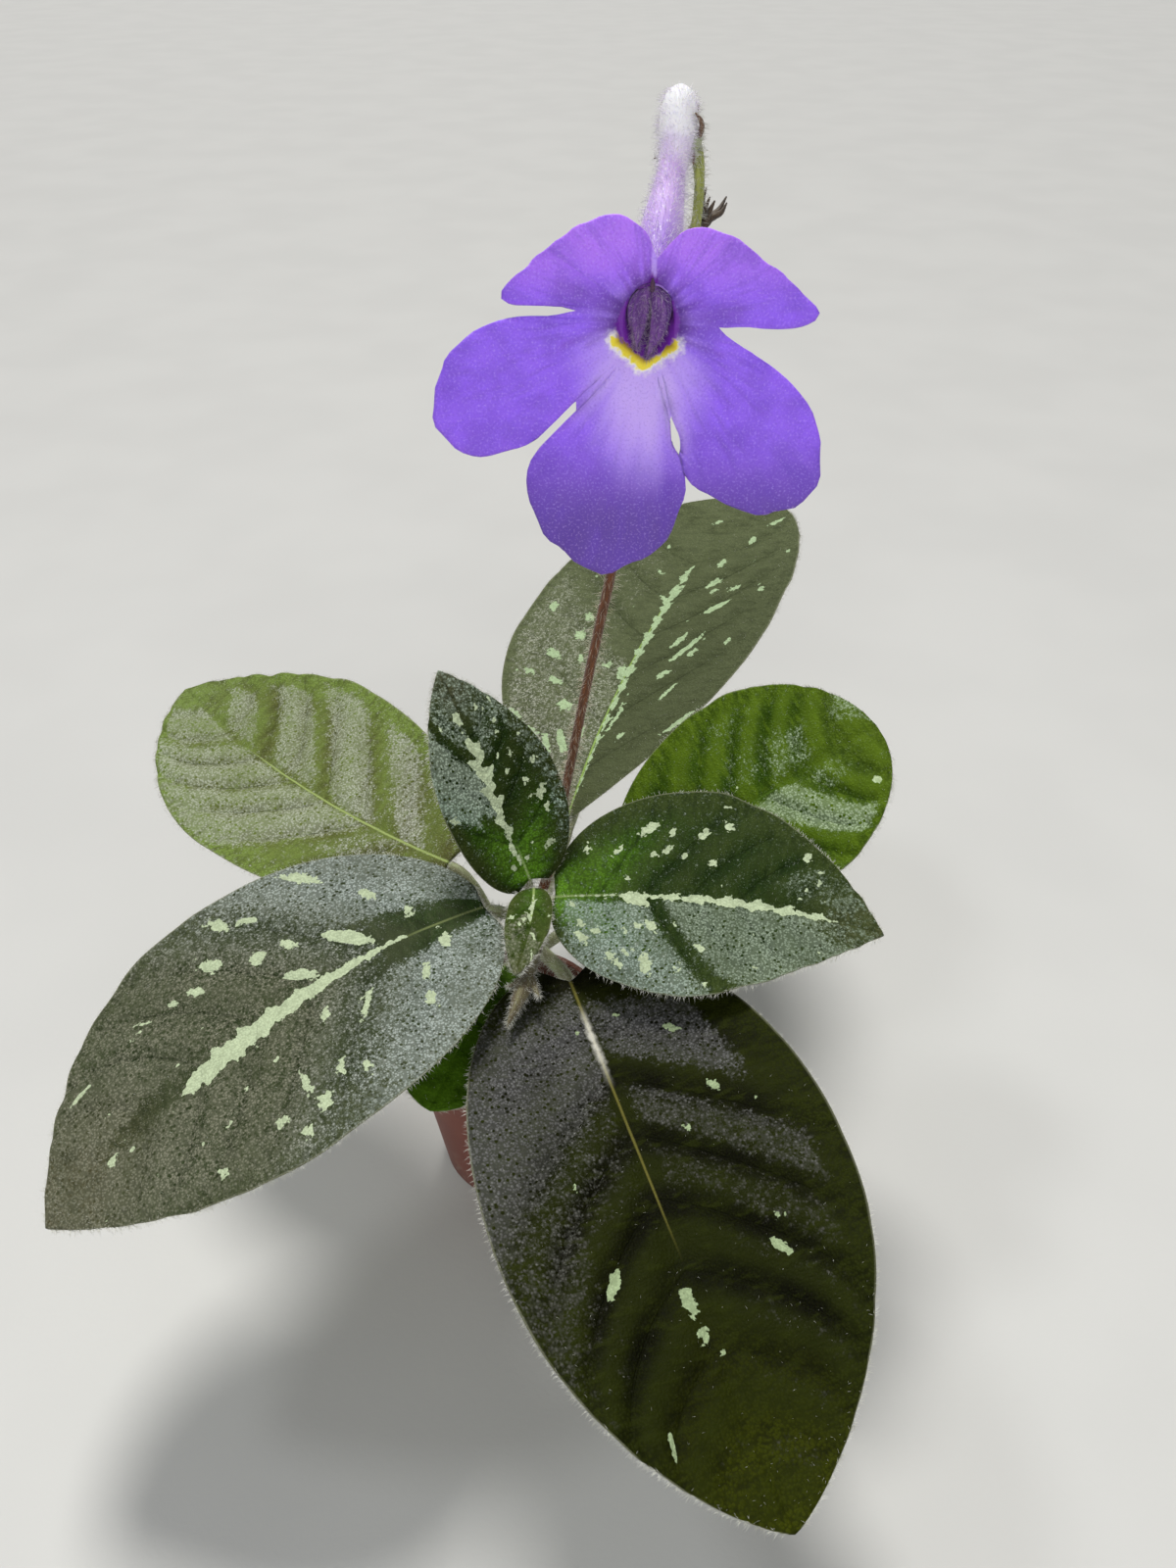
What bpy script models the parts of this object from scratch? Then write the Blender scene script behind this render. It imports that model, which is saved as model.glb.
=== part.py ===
"""Potted gesneriad: a small hairy-leaved house plant with one violet flower, in a round plastic pot.

Units are metres, +Z up. The origin is the centre of the pot's underside, and -Y is the plant's front.
Sizes in the tables are millimetres and degrees, and a heading is counted from +X towards +Y.
"""
import math
from dataclasses import dataclass

import bmesh
import bpy
import numpy as np
from mathutils import Vector

MM = 0.001
SEAT_GAP = 0.3 * MM

# Pot: a 57 mm round nursery pot
POT_HEIGHT = 54.0 * MM
POT_BASE_R = 21.0 * MM
POT_NECK_R = 26.6 * MM
POT_RIM_R = 28.5 * MM
POT_BAND = 9.0 * MM
POT_WALL = 1.3 * MM
POT_FLOOR = 1.6 * MM
POT_SIDES = 40
DRAIN_HOLES = 5
DRAIN_R = 2.8 * MM
DRAIN_RING_R = 13.0 * MM

# Soil: a filled plug with a crumbly top
SOIL_TOP = 46.0 * MM
SOIL_RINGS = 6
SOIL_SIDES = 30
SOIL_CRUMB = 0.9 * MM

# Stem: from the soil up to the crown
STEM_FOOT = Vector((3.0, 1.0, 26.0)) * MM
STEM_CROWN = Vector((8.0, 0.8, 100.5)) * MM
STEM_FOOT_R = 4.4 * MM
STEM_CROWN_R = 2.3 * MM
STEM_SIDES = 12
NODE_SWELL = 0.3 * MM

# Leaves
BLADE = 0.9 * MM
BLADE_START = 0.012
VEIN_SLANT = 0.62
BASE_ROWS = (0.0, 0.3, 0.65)
COLUMNS = (-1.0, -0.8, -0.55, -0.3, -0.1, 0.0, 0.1, 0.3, 0.55, 0.8, 1.0)
MIDRIB_END = 0.8
PETIOLE_SIDES = 8

# Flower
PETAL = 0.6 * MM
THROAT = Vector((30.6, -47.0, 256.2)) * MM
LIMB_LEAN = 15.0
SPUR_END = Vector((35.8, -14.2, 281.0)) * MM
MOUTH_HALF_W = 3.7 * MM
MOUTH_HALF_H = 5.2 * MM
LOBE_COLUMNS = 12
LIMB_ROWS = (0.0, 0.14, 0.32, 0.54, 0.78, 1.0)
FLOWER_NODE = Vector((39.0, -14.0, 261.0)) * MM
PEDUNCLE_KNEE = Vector((16.1, 23.0, 118.0)) * MM


@dataclass(frozen=True)
class Leaf:
    """One leaf: where its blade starts, how it runs and how wide each half is."""

    name: str
    stem_height: float
    base: tuple
    length: float
    heading: float
    sweep: float
    rise: float
    droop: float
    roll: float
    left: float
    right: float
    widest: float
    base_point: float
    fullness: float
    point: float
    lobe: float
    cup: float
    veins: int
    quilt: float
    stalk_r: float
    colour: tuple


DARK = (0.045, 0.055, 0.022, 1.0)
SILVERED = (0.10, 0.13, 0.085, 1.0)
GREEN = (0.07, 0.13, 0.025, 1.0)

LEAVES = (
    Leaf("leaf_left", 95.0, (-3.8, -3.4, 100.8), 123.0, 208.0, 18.0, 4.0, 37.0, 1.0,
         42.5, 41.0, 0.45, 0.5, 2.1, 0.94, 1.8, 0.045, 8, 0.45, 1.7, SILVERED),
    Leaf("leaf_front", 87.0, (17.5, -20.1, 92.1), 124.5, -74.0, 6.0, 4.0, 19.0, 4.0,
         41.0, 35.0, 0.47, 0.5, 2.2, 0.82, 6.5, 0.11, 8, 0.75, 1.9, DARK),
    Leaf("leaf_right", 95.0, (14.8, 0.4, 100.7), 80.5, -5.0, -15.0, 11.0, 16.0, 10.0,
         32.5, 30.5, 0.45, 0.5, 1.6, 0.97, 1.2, 0.10, 7, 0.35, 1.5, GREEN),
    Leaf("leaf_young", 99.5, (7.0, 3.7, 103.6), 58.5, 127.5, -4.0, 59.0, 25.5, 0.0,
         16.0, 17.5, 0.42, 0.5, 1.74, 0.95, 2.2, 0.125, 6, 0.3, 1.2, GREEN),
    Leaf("leaf_back", 87.0, (16.0, 34.5, 97.1), 145.0, 75.5, -22.0, 17.0, 3.0, -15.5,
         47.0, 42.0, 0.58, 1.04, 2.2, 0.51, 0.0, 0.093, 8, 0.5, 1.9, SILVERED),
    Leaf("leaf_left_back", 80.0, (-14.5, 14.2, 99.9), 114.0, 152.5, -24.0, 4.0, 1.0, -13.0,
         31.0, 35.5, 0.535, 0.5, 1.8, 0.80, 2.3, 0.095, 8, 0.8, 1.8, SILVERED),
    Leaf("leaf_right_back", 80.0, (31.0, 17.1, 90.7), 79.0, 8.0, 13.0, 34.5, 9.5, 21.5,
         32.0, 29.0, 0.58, 0.5, 1.7, 0.50, 0.0, 0.0, 7, 0.7, 1.7, GREEN),
    Leaf("leaf_crown", 99.5, (8.4, -1.5, 105.3), 27.5, 272.5, -19.5, 8.5, 27.5, 2.0,
         5.2, 5.9, 0.43, 0.5, 2.0, 0.83, 0.0, 0.23, 4, 0.15, 0.9, GREEN),
    Leaf("leaf_low", 74.0, (1.1, -12.2, 88.9), 41.5, 244.0, 7.0, -4.0, 14.5, 0.0,
         18.0, 17.7, 0.45, 0.5, 1.9, 0.63, 0.0, 0.05, 5, 0.35, 1.4, GREEN),
)

# Petal outlines seen face on: angle in degrees and distance from the throat in millimetres
LOBES = (
    ((83.9, 8.4), (95.8, 12.1), (112.5, 14.9), (135.4, 16.3), (153.5, 18.1), (166.0, 20.6),
     (172.0, 20.7), (171.5, 17.0), (169.5, 14.0), (171.0, 10.5)),
    ((171.0, 10.5), (177.0, 15.0), (178.0, 18.8), (181.9, 24.3), (188.7, 28.7), (197.0, 32.2),
     (206.6, 33.6), (216.0, 30.8), (221.5, 26.6), (224.9, 22.5), (225.1, 18.5), (226.1, 15.2)),
    ((226.1, 15.2), (225.6, 20.5), (226.5, 25.3), (232.1, 29.0), (240.0, 32.2), (249.0, 34.6),
     (257.4, 36.0), (266.0, 34.4), (275.5, 30.6), (283.0, 25.4), (284.9, 20.5), (284.0, 13.2)),
    ((284.0, 13.2), (284.9, 20.5), (290.0, 24.9), (299.0, 29.8), (310.0, 33.6), (318.0, 33.2),
     (327.0, 30.1), (336.0, 24.1), (343.0, 16.8), (349.5, 11.6), (356.8, 9.7)),
    ((356.8, 9.7), (357.8, 14.0), (358.5, 20.5), (361.5, 23.6), (366.0, 22.9), (372.0, 21.2),
     (380.0, 19.0), (391.4, 17.0), (404.2, 15.7), (418.1, 14.2), (430.0, 12.3), (443.9, 8.4)),
)
LOBE_REFLEX = (2.6, 0.4, 1.0, 0.4, 2.6)
FUNNEL_DEPTH = 2.4

# Corolla tube: place along it and radius of its middle surface in millimetres
TUBE_PROFILE = ((0.0, 0.0), (0.02, 1.35), (0.06, 2.25), (0.12, 2.65), (0.19, 2.2), (0.30, 1.62),
                (0.42, 1.85), (0.61, 2.45), (0.80, 3.2), (1.0, 3.7))
TUBE_LENGTH = 43.0 * MM
CALYX_PLACE = 0.14
TUBE_ROWS = (0.02, 0.06, 0.12, 0.19, 0.30, 0.42, 0.56, 0.70, 0.84)


def clear_scene():
    """Remove every object that the scene starts with."""
    for old in list(bpy.data.objects):
        bpy.data.objects.remove(old, do_unlink=True)


def make_material(name, colour, roughness, metallic=0.0):
    """Return a Principled material."""
    material = bpy.data.materials.new(name)
    material.use_nodes = True
    shader = material.node_tree.nodes["Principled BSDF"]
    shader.inputs["Base Color"].default_value = colour
    shader.inputs["Roughness"].default_value = roughness
    shader.inputs["Metallic"].default_value = metallic
    return material


def add_object(name, bm, material=None):
    """Turn a bmesh into a linked object with its faces pointing out."""
    bmesh.ops.recalc_face_normals(bm, faces=bm.faces)
    mesh = bpy.data.meshes.new(name)
    bm.to_mesh(mesh)
    bm.free()
    mesh.shade_smooth()
    mesh.set_sharp_from_angle(angle=math.radians(50))
    obj = bpy.data.objects.new(name, mesh)
    bpy.context.scene.collection.objects.link(obj)
    if material:
        mesh.materials.append(material)
    return obj


def apply_modifiers(obj):
    """Replace an object's mesh by what its modifiers make of it."""
    graph = bpy.context.evaluated_depsgraph_get()
    mesh = bpy.data.meshes.new_from_object(obj.evaluated_get(graph))
    obj.modifiers.clear()
    obj.data = mesh


def fuse(name, pieces, material):
    """Join closed pieces that run into each other into one body."""
    body = pieces[0]
    if len(pieces) > 1:
        group = bpy.data.collections.new(name + "_parts")
        for piece in pieces[1:]:
            group.objects.link(piece)
        union = body.modifiers.new("union", "BOOLEAN")
        union.operation = "UNION"
        union.solver = "EXACT"
        union.operand_type = "COLLECTION"
        union.collection = group
        apply_modifiers(body)
        for piece in pieces[1:]:
            bpy.data.objects.remove(piece, do_unlink=True)
        bpy.data.collections.remove(group)
    body.name = name
    body.data.materials.clear()
    body.data.materials.append(material)
    return body


def cut(body, cutter, label):
    """Subtract a cutter from a body and keep the modifier live."""
    cutter.hide_render = True
    cutter.display_type = "WIRE"
    hole = body.modifiers.new(label, "BOOLEAN")
    hole.operation = "DIFFERENCE"
    hole.solver = "EXACT"
    hole.object = cutter


def bezier(p0, p1, p2, p3, count):
    """Return points along a cubic curve."""
    points = []
    for step in range(count):
        t = step / (count - 1)
        s = 1.0 - t
        points.append(p0 * s ** 3 + p1 * (3 * s * s * t) + p2 * (3 * s * t * t) + p3 * t ** 3)
    return points


def path_frames(points):
    """Return two side directions at each point of a path, turned as little as possible along it."""
    side = None
    frames = []
    for index, point in enumerate(points):
        ahead = points[min(index + 1, len(points) - 1)]
        behind = points[max(index - 1, 0)]
        tangent = (ahead - behind).normalized()
        if side is None:
            side = tangent.orthogonal()
        side = (side - tangent * side.dot(tangent)).normalized()
        frames.append((side, tangent.cross(side)))
    return frames


def around(side, up, turn):
    """Direction at a share of a full turn from one side direction towards the other."""
    return side * math.cos(2 * math.pi * turn) + up * math.sin(2 * math.pi * turn)


def tube_mesh(points, radii, sides):
    """Return a bmesh of a round bar along points, with closed ends."""
    bm = bmesh.new()
    rings = []
    for point, radius, (side, up) in zip(points, radii, path_frames(points)):
        ring = []
        for step in range(sides):
            ring.append(bm.verts.new(point + around(side, up, step / sides) * radius))
        rings.append(ring)
    for low, high in zip(rings, rings[1:]):
        for step in range(sides):
            after = (step + 1) % sides
            bm.faces.new((low[step], low[after], high[after], high[step]))
    bm.faces.new(rings[0])
    bm.faces.new(rings[-1])
    return bm


def egg_mesh(centre, axis, length, radius, point=0.5, sides=8, rings=6):
    """Return a bmesh of an egg or bud along an axis, its far end drawn to a point."""
    side = axis.orthogonal().normalized()
    up = axis.cross(side)
    bm = bmesh.new()
    loops = []
    for ring in range(1, rings):
        t = ring / rings
        r = radius * math.sin(math.pi * t ** (1.0 - 0.5 * point)) ** (0.7 + 0.5 * point * t)
        middle = centre + axis * (length * (t - 0.5))
        loop = []
        for step in range(sides):
            loop.append(bm.verts.new(middle + around(side, up, step / sides) * r))
        loops.append(loop)
    low = bm.verts.new(centre - axis * (length * 0.5))
    high = bm.verts.new(centre + axis * (length * 0.5))
    for first, second in zip(loops, loops[1:]):
        for step in range(sides):
            after = (step + 1) % sides
            bm.faces.new((first[step], first[after], second[after], second[step]))
    for step in range(sides):
        after = (step + 1) % sides
        bm.faces.new((low, loops[0][after], loops[0][step]))
        bm.faces.new((high, loops[-1][step], loops[-1][after]))
    return bm


def turned_mesh(profile, sides):
    """Return a bmesh of a closed profile of (radius, height) turned about Z."""
    bm = bmesh.new()
    verts = [bm.verts.new((radius, 0.0, height)) for radius, height in profile]
    edges = [bm.edges.new(pair) for pair in zip(verts, verts[1:])]
    bmesh.ops.spin(bm, geom=verts + edges, cent=(0, 0, 0), axis=(0, 0, 1), angle=2 * math.pi,
                   steps=sides, use_merge=True)
    bmesh.ops.remove_doubles(bm, verts=bm.verts, dist=1e-6)
    return bm


def stem_point(height):
    """Return the stem's centre and radius at a height."""
    t = (height - STEM_FOOT.z) / (STEM_CROWN.z - STEM_FOOT.z)
    lean = t * t
    centre = Vector((STEM_FOOT.x + (STEM_CROWN.x - STEM_FOOT.x) * lean,
                     STEM_FOOT.y + (STEM_CROWN.y - STEM_FOOT.y) * lean, height))
    return centre, STEM_FOOT_R + (STEM_CROWN_R - STEM_FOOT_R) * t


def build_pot():
    """Thin-walled round pot with a rim band and drain holes in its flat floor."""
    inner = POT_BASE_R - POT_WALL
    shoulder = POT_HEIGHT - POT_BAND
    profile = ((0.0, 0.0), (POT_BASE_R - 1.0 * MM, 0.0), (POT_BASE_R, 1.0 * MM), (POT_NECK_R, shoulder),
               (POT_NECK_R + 0.9 * MM, shoulder + 0.4 * MM), (POT_RIM_R, POT_HEIGHT - 0.5 * MM),
               (POT_RIM_R - 0.5 * MM, POT_HEIGHT), (POT_RIM_R - POT_WALL - 0.3 * MM, POT_HEIGHT),
               (POT_NECK_R - POT_WALL + 0.9 * MM, shoulder + 0.8 * MM),
               (POT_NECK_R - POT_WALL, shoulder - 0.8 * MM), (inner + 0.3 * MM, POT_FLOOR + 1.0 * MM),
               (inner - 0.8 * MM, POT_FLOOR), (0.0, POT_FLOOR))
    pot = add_object("pot", turned_mesh(profile, POT_SIDES),
                     make_material("pot_plastic", (0.10, 0.042, 0.030, 1.0), 0.55))
    for index in range(DRAIN_HOLES):
        angle = 2 * math.pi * (index + 0.5) / DRAIN_HOLES
        bm = bmesh.new()
        bmesh.ops.create_cone(bm, cap_ends=True, segments=12, radius1=DRAIN_R, radius2=DRAIN_R,
                              depth=10 * MM)
        place = (DRAIN_RING_R * math.cos(angle), DRAIN_RING_R * math.sin(angle), POT_FLOOR)
        bmesh.ops.translate(bm, verts=bm.verts, vec=place)
        cut(pot, add_object("drain_cutter_%d" % index, bm), "drain_%d" % index)
    return pot


def soil_wall(height):
    """Return the pot's inner radius at a height, less the seat gap."""
    shoulder = POT_HEIGHT - POT_BAND
    low_r = POT_BASE_R - POT_WALL + 0.3 * MM
    high_r = POT_NECK_R - POT_WALL
    t = (height - POT_FLOOR - 1.0 * MM) / (shoulder - 0.8 * MM - POT_FLOOR - 1.0 * MM)
    return low_r + (high_r - low_r) * min(t, 1.0) - 2.0 * SEAT_GAP


def soil_bump(x, y):
    """Height of the soil's crumbs over its mean level."""
    a = math.sin(x / (2.1 * MM) + 1.3) * math.cos(y / (2.6 * MM))
    b = math.sin((x + y) / (3.4 * MM) + 0.7) * math.sin((x - 0.7 * y) / (2.9 * MM))
    return SOIL_CRUMB * (0.6 * a + 0.5 * b)


def build_soil():
    """Plug of soil that fills the pot, crumbly on top, with a plain hole for the stem."""
    bm = bmesh.new()
    low_z = POT_FLOOR + SEAT_GAP
    bottom = bm.verts.new((0, 0, low_z))
    loops = []
    foot_r = soil_wall(low_z + 2 * MM)
    for radius, height in ((foot_r - 1.2 * MM, low_z), (foot_r, low_z + 2 * MM)):
        loops.append([bm.verts.new((radius * math.cos(2 * math.pi * k / SOIL_SIDES),
                                    radius * math.sin(2 * math.pi * k / SOIL_SIDES), height))
                      for k in range(SOIL_SIDES)])
    top_r = soil_wall(SOIL_TOP - 2.6 * MM)
    for ring in range(SOIL_RINGS):
        radius = top_r * (1.0 - ring / SOIL_RINGS)
        loop = []
        for k in range(SOIL_SIDES):
            angle = 2 * math.pi * (k + 0.5 * (ring % 2)) / SOIL_SIDES
            x = radius * math.cos(angle)
            y = radius * math.sin(angle)
            drop = -1.2 * MM if ring == 0 else soil_bump(x, y)
            loop.append(bm.verts.new((x, y, SOIL_TOP + drop)))
        loops.append(loop)
    centre = bm.verts.new((0, 0, SOIL_TOP + soil_bump(0, 0)))
    for first, second in zip(loops, loops[1:]):
        for k in range(SOIL_SIDES):
            after = (k + 1) % SOIL_SIDES
            bm.faces.new((first[k], first[after], second[after]))
            bm.faces.new((first[k], second[after], second[k]))
    for k in range(SOIL_SIDES):
        after = (k + 1) % SOIL_SIDES
        bm.faces.new((bottom, loops[0][after], loops[0][k]))
        bm.faces.new((centre, loops[-1][k], loops[-1][after]))
    soil = add_object("soil", bm, make_material("soil_mix", (0.02, 0.013, 0.009, 1.0), 0.95))
    heights = [STEM_FOOT.z - SEAT_GAP, 36.0 * MM, SOIL_TOP + 4.0 * MM]
    points = [stem_point(height)[0] for height in heights]
    radii = [stem_point(height)[1] + SEAT_GAP for height in heights]
    cut(soil, add_object("stem_hole_cutter", tube_mesh(points, radii, STEM_SIDES)), "stem_hole")
    return soil


def build_stem():
    """Short stem, a little thicker where the leaves leave it."""
    heights = [STEM_FOOT.z, 36 * MM, 46 * MM, 58 * MM, 68 * MM, 74 * MM, 80 * MM, 87 * MM, 95 * MM,
               99 * MM, STEM_CROWN.z]
    swell = [0.0, 0.0, 0.0, 0.0, 0.0, 1.0, 1.0, 1.0, 1.0, 0.0, -2.6]
    points = []
    radii = []
    for height, extra in zip(heights, swell):
        centre, radius = stem_point(height)
        points.append(centre)
        radii.append(radius + extra * NODE_SWELL)
    radii[:3] = [stem_point(height)[1] for height in heights[:3]]
    return add_object("stem", tube_mesh(points, radii, STEM_SIDES),
                      make_material("stem_skin", (0.10, 0.075, 0.035, 1.0), 0.7))


class LeafForm:
    """The curved sheet that a leaf's blade follows."""

    STATIONS = 81

    def __init__(self, leaf):
        self.leaf = leaf
        t = np.linspace(0.0, 1.0, self.STATIONS)
        yaw = np.radians(leaf.heading + leaf.sweep * t)
        pitch = np.radians(leaf.rise - leaf.droop * t)
        along = np.stack([np.cos(pitch) * np.cos(yaw), np.cos(pitch) * np.sin(yaw), np.sin(pitch)], axis=-1)
        level = np.stack([-np.sin(yaw), np.cos(yaw), 0.0 * yaw], axis=-1)
        upright = np.cross(along, level)
        roll = math.radians(leaf.roll)
        side = level * math.cos(roll) + upright * math.sin(roll)
        step = leaf.length * MM / (self.STATIONS - 1)
        run = np.cumsum(0.5 * (along[1:] + along[:-1]) * step, axis=0)
        self.t = t
        self.centre = np.concatenate([np.zeros((1, 3)), run]) + np.array(leaf.base) * MM
        self.along = along
        self.side = side
        self.normal = np.cross(along, side)

    def at(self, table, t):
        """Read a table of directions or points at a place along the blade."""
        return Vector([float(np.interp(t, self.t, table[:, axis])) for axis in range(3)])

    def half_width(self, t, q):
        """Half width at a place along the blade, on the left for q over 0."""
        leaf = self.leaf
        half = (leaf.left if q > 0 else leaf.right) * MM
        if t < leaf.widest:
            return half * max(1.0 - ((leaf.widest - t) / leaf.widest) ** 2.2, 0.0) ** leaf.base_point
        return half * max(1.0 - ((t - leaf.widest) / (1.0 - leaf.widest)) ** leaf.fullness, 0.0) ** leaf.point

    def relief(self, s, q):
        """Quilting between the side veins, with the midrib sunk in."""
        leaf = self.leaf
        wave = -math.cos(2 * math.pi * s * leaf.veins)
        body = math.sin(math.pi * min(max(s, 0.0), 1.0)) ** 0.5
        rib = math.exp(-(q / 0.12) ** 2)
        share = (0.45 + 0.55 * (1.0 - q * q)) * (1.0 - rib)
        return (wave * leaf.quilt * share - 0.5 * rib) * body * MM

    def point(self, s, q, lift=0.0):
        """Point of the sheet on vein line s, q from -1 at the right margin to 1 at the left."""
        t = s + VEIN_SLANT * (1.0 - s) * (1.0 - (1.0 - s) ** 3) * abs(q) ** 1.2
        width = self.half_width(t, q)
        back = self.leaf.lobe * MM * abs(q) ** 1.5 * (1.0 - t) ** 3
        rise = self.leaf.cup * width * q * q + self.relief(s, q) + lift
        return (self.at(self.centre, t) + self.at(self.side, t) * (width * q)
                + self.at(self.normal, t) * rise - self.at(self.along, t) * back)


def blade_mesh(form):
    """Sheet of one blade, split into triangles, its rows along the side veins."""
    rows = 2 * form.leaf.veins
    bm = bmesh.new()
    grid = []
    for row in BASE_ROWS + tuple(range(1, rows)):
        s = BLADE_START + (1.0 - BLADE_START) * row / rows
        grid.append([bm.verts.new(form.point(s, q)) for q in COLUMNS])
    tip = bm.verts.new(form.point(1.0, 0.0))
    half = len(COLUMNS) // 2
    for low, high in zip(grid, grid[1:]):
        for k in range(len(COLUMNS) - 1):
            corners = (low[k], low[k + 1], high[k + 1], high[k])
            if k < half:
                corners = (low[k + 1], high[k + 1], high[k], low[k])
            bm.faces.new((corners[0], corners[1], corners[2]))
            bm.faces.new((corners[0], corners[2], corners[3]))
    for k in range(len(COLUMNS) - 1):
        bm.faces.new((grid[-1][k], grid[-1][k + 1], tip))
    return bm


def build_leaf(leaf):
    """One leaf: blade with quilted veins, midrib under it and a stalk down to the stem."""
    form = LeafForm(leaf)
    material = make_material(leaf.name + "_skin", leaf.colour, 0.6)
    blade = add_object(leaf.name, blade_mesh(form))
    wall = blade.modifiers.new("thickness", "SOLIDIFY")
    wall.thickness = BLADE
    wall.offset = 0.0
    apply_modifiers(blade)

    stalk_r = leaf.stalk_r * MM
    root, stem_r = stem_point(leaf.stem_height * MM)
    start = form.at(form.centre, 0.0)
    out = Vector((start.x - root.x, start.y - root.y, 0.0)).normalized()
    foot = root + out * (stem_r + NODE_SWELL + SEAT_GAP)
    along = form.at(form.along, 0.0)
    under = form.at(form.normal, 0.0) * -(stalk_r - 0.3 * MM)
    span = (start - foot).length
    points = [foot, foot + out * (0.5 * MM)]
    points += bezier(points[1], foot + out * (0.35 * span), start + under - along * (0.35 * span),
                     start + under, 8)[1:]
    radii = [stalk_r * (1.0 - 0.12 * k / 8) for k in range(9)]
    for t in (0.08, 0.2, 0.35, 0.5, 0.65, MIDRIB_END):
        radius = stalk_r * 0.88 * (1.0 - t / (MIDRIB_END + 0.12)) + 0.25 * MM
        sink = radius - 0.3 * MM + 0.5 * MM if t < 0.7 else 0.0
        points.append(form.point(t, 0.0, -sink))
        radii.append(radius)
    radii[-1] = 0.2 * MM
    stalk = add_object(leaf.name + "_stalk", tube_mesh(points, radii, PETIOLE_SIDES))
    return fuse(leaf.name, [blade, stalk], material)


def limb_axes():
    """Directions across, up and out of the flower's face."""
    lean = math.radians(LIMB_LEAN)
    up = Vector((0, math.sin(lean), math.cos(lean)))
    out = Vector((0, -math.cos(lean), math.sin(lean)))
    return Vector((1, 0, 0)), up, out


def smooth_outline(knots, count):
    """Points spaced evenly along a smooth curve through (angle, radius) knots."""
    flat = [around(Vector((1, 0, 0)), Vector((0, 1, 0)), a / 360) * (r * MM) for a, r in knots]
    padded = [flat[0] * 2 - flat[1]] + flat + [flat[-1] * 2 - flat[-2]]
    fine = []
    for k in range(1, len(padded) - 2):
        a, b, c, d = padded[k - 1:k + 3]
        for step in range(12):
            t = step / 12
            fine.append(0.5 * ((2 * b) + (c - a) * t + (2 * a - 5 * b + 4 * c - d) * t * t
                               + (3 * b - a - 3 * c + d) * t ** 3))
    fine.append(flat[-1])
    run = [0.0]
    for first, second in zip(fine, fine[1:]):
        run.append(run[-1] + (second - first).length)
    places = np.linspace(0.0, run[-1], count + 1)
    return [Vector((float(np.interp(p, run, [v.x for v in fine])),
                    float(np.interp(p, run, [v.y for v in fine])), 0.0)) for p in places]


def tube_line(u):
    """Point on the corolla tube's centre line, from the spur's end to the throat."""
    p1 = SPUR_END + Vector((-1.0, -8.0, -13.5)) * MM
    p2 = THROAT - Vector((0.0, -0.96, -0.22)) * (13.0 * MM)
    s = 1.0 - u
    return SPUR_END * s ** 3 + p1 * (3 * s * s * u) + p2 * (3 * s * u * u) + THROAT * u ** 3


def tube_section(u):
    """Centre, side and up directions and radius of the tube at a place along it."""
    ahead = tube_line(min(u + 0.01, 1.0))
    behind = tube_line(max(u - 0.01, 0.0))
    tangent = (ahead - behind).normalized()
    side = Vector((1, 0, 0))
    side = (side - tangent * side.dot(tangent)).normalized()
    up = tangent.cross(side)
    radius = float(np.interp(u, [k[0] for k in TUBE_PROFILE], [k[1] for k in TUBE_PROFILE])) * MM
    return tube_line(u), side, up, radius


def limb_offset(radius, lobe, share):
    """How far the limb stands out of its plane, by distance from the throat."""
    funnel = -FUNNEL_DEPTH * math.exp(-max(radius / MM - 4.5, 0.0) / 2.2)
    reflex = -LOBE_REFLEX[lobe] * (radius / MM / 34.0) ** 2
    crown = 0.9 * math.sin(math.pi * share) * (radius / MM / 30.0)
    return (funnel + reflex + crown) * MM


def build_corolla():
    """The flower: hairy tube with a closed spur end, spreading into five lobes."""
    across, up, out = limb_axes()
    angles = []
    columns = []
    for lobe, knots in enumerate(LOBES):
        outline = smooth_outline(knots, LOBE_COLUMNS)
        for k in range(LOBE_COLUMNS):
            share = k / LOBE_COLUMNS
            angles.append(knots[0][0] + (knots[-1][0] - knots[0][0]) * share)
            columns.append((outline[k], lobe, share))
    bm = bmesh.new()
    pole = bm.verts.new(tube_line(0.0))
    rings = []
    for u in TUBE_ROWS:
        centre, side, rise, radius = tube_section(u)
        ring = []
        for angle in angles:
            ring.append(bm.verts.new(centre + around(side, rise, angle / 360) * radius))
        rings.append(ring)
    for share_out in LIMB_ROWS:
        ring = []
        for angle, (edge, lobe, share) in zip(angles, columns):
            mouth = around(Vector((MOUTH_HALF_W, 0, 0)), Vector((0, MOUTH_HALF_H, 0)), angle / 360)
            flat = mouth.lerp(edge, share_out)
            lift = limb_offset(flat.length, lobe, share)
            ring.append(bm.verts.new(THROAT + across * flat.x + up * flat.y + out * lift))
        rings.append(ring)
    count = len(angles)
    for k in range(count):
        after = (k + 1) % count
        bm.faces.new((pole, rings[0][k], rings[0][after]))
        for low, high in zip(rings, rings[1:]):
            bm.faces.new((low[k], high[k], high[after]))
            bm.faces.new((low[k], high[after], low[after]))
    corolla = add_object("corolla", bm, make_material("corolla_skin", (0.24, 0.12, 0.65, 1.0), 0.55))
    wall = corolla.modifiers.new("thickness", "SOLIDIFY")
    wall.thickness = PETAL
    wall.offset = 0.0
    return corolla


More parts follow.
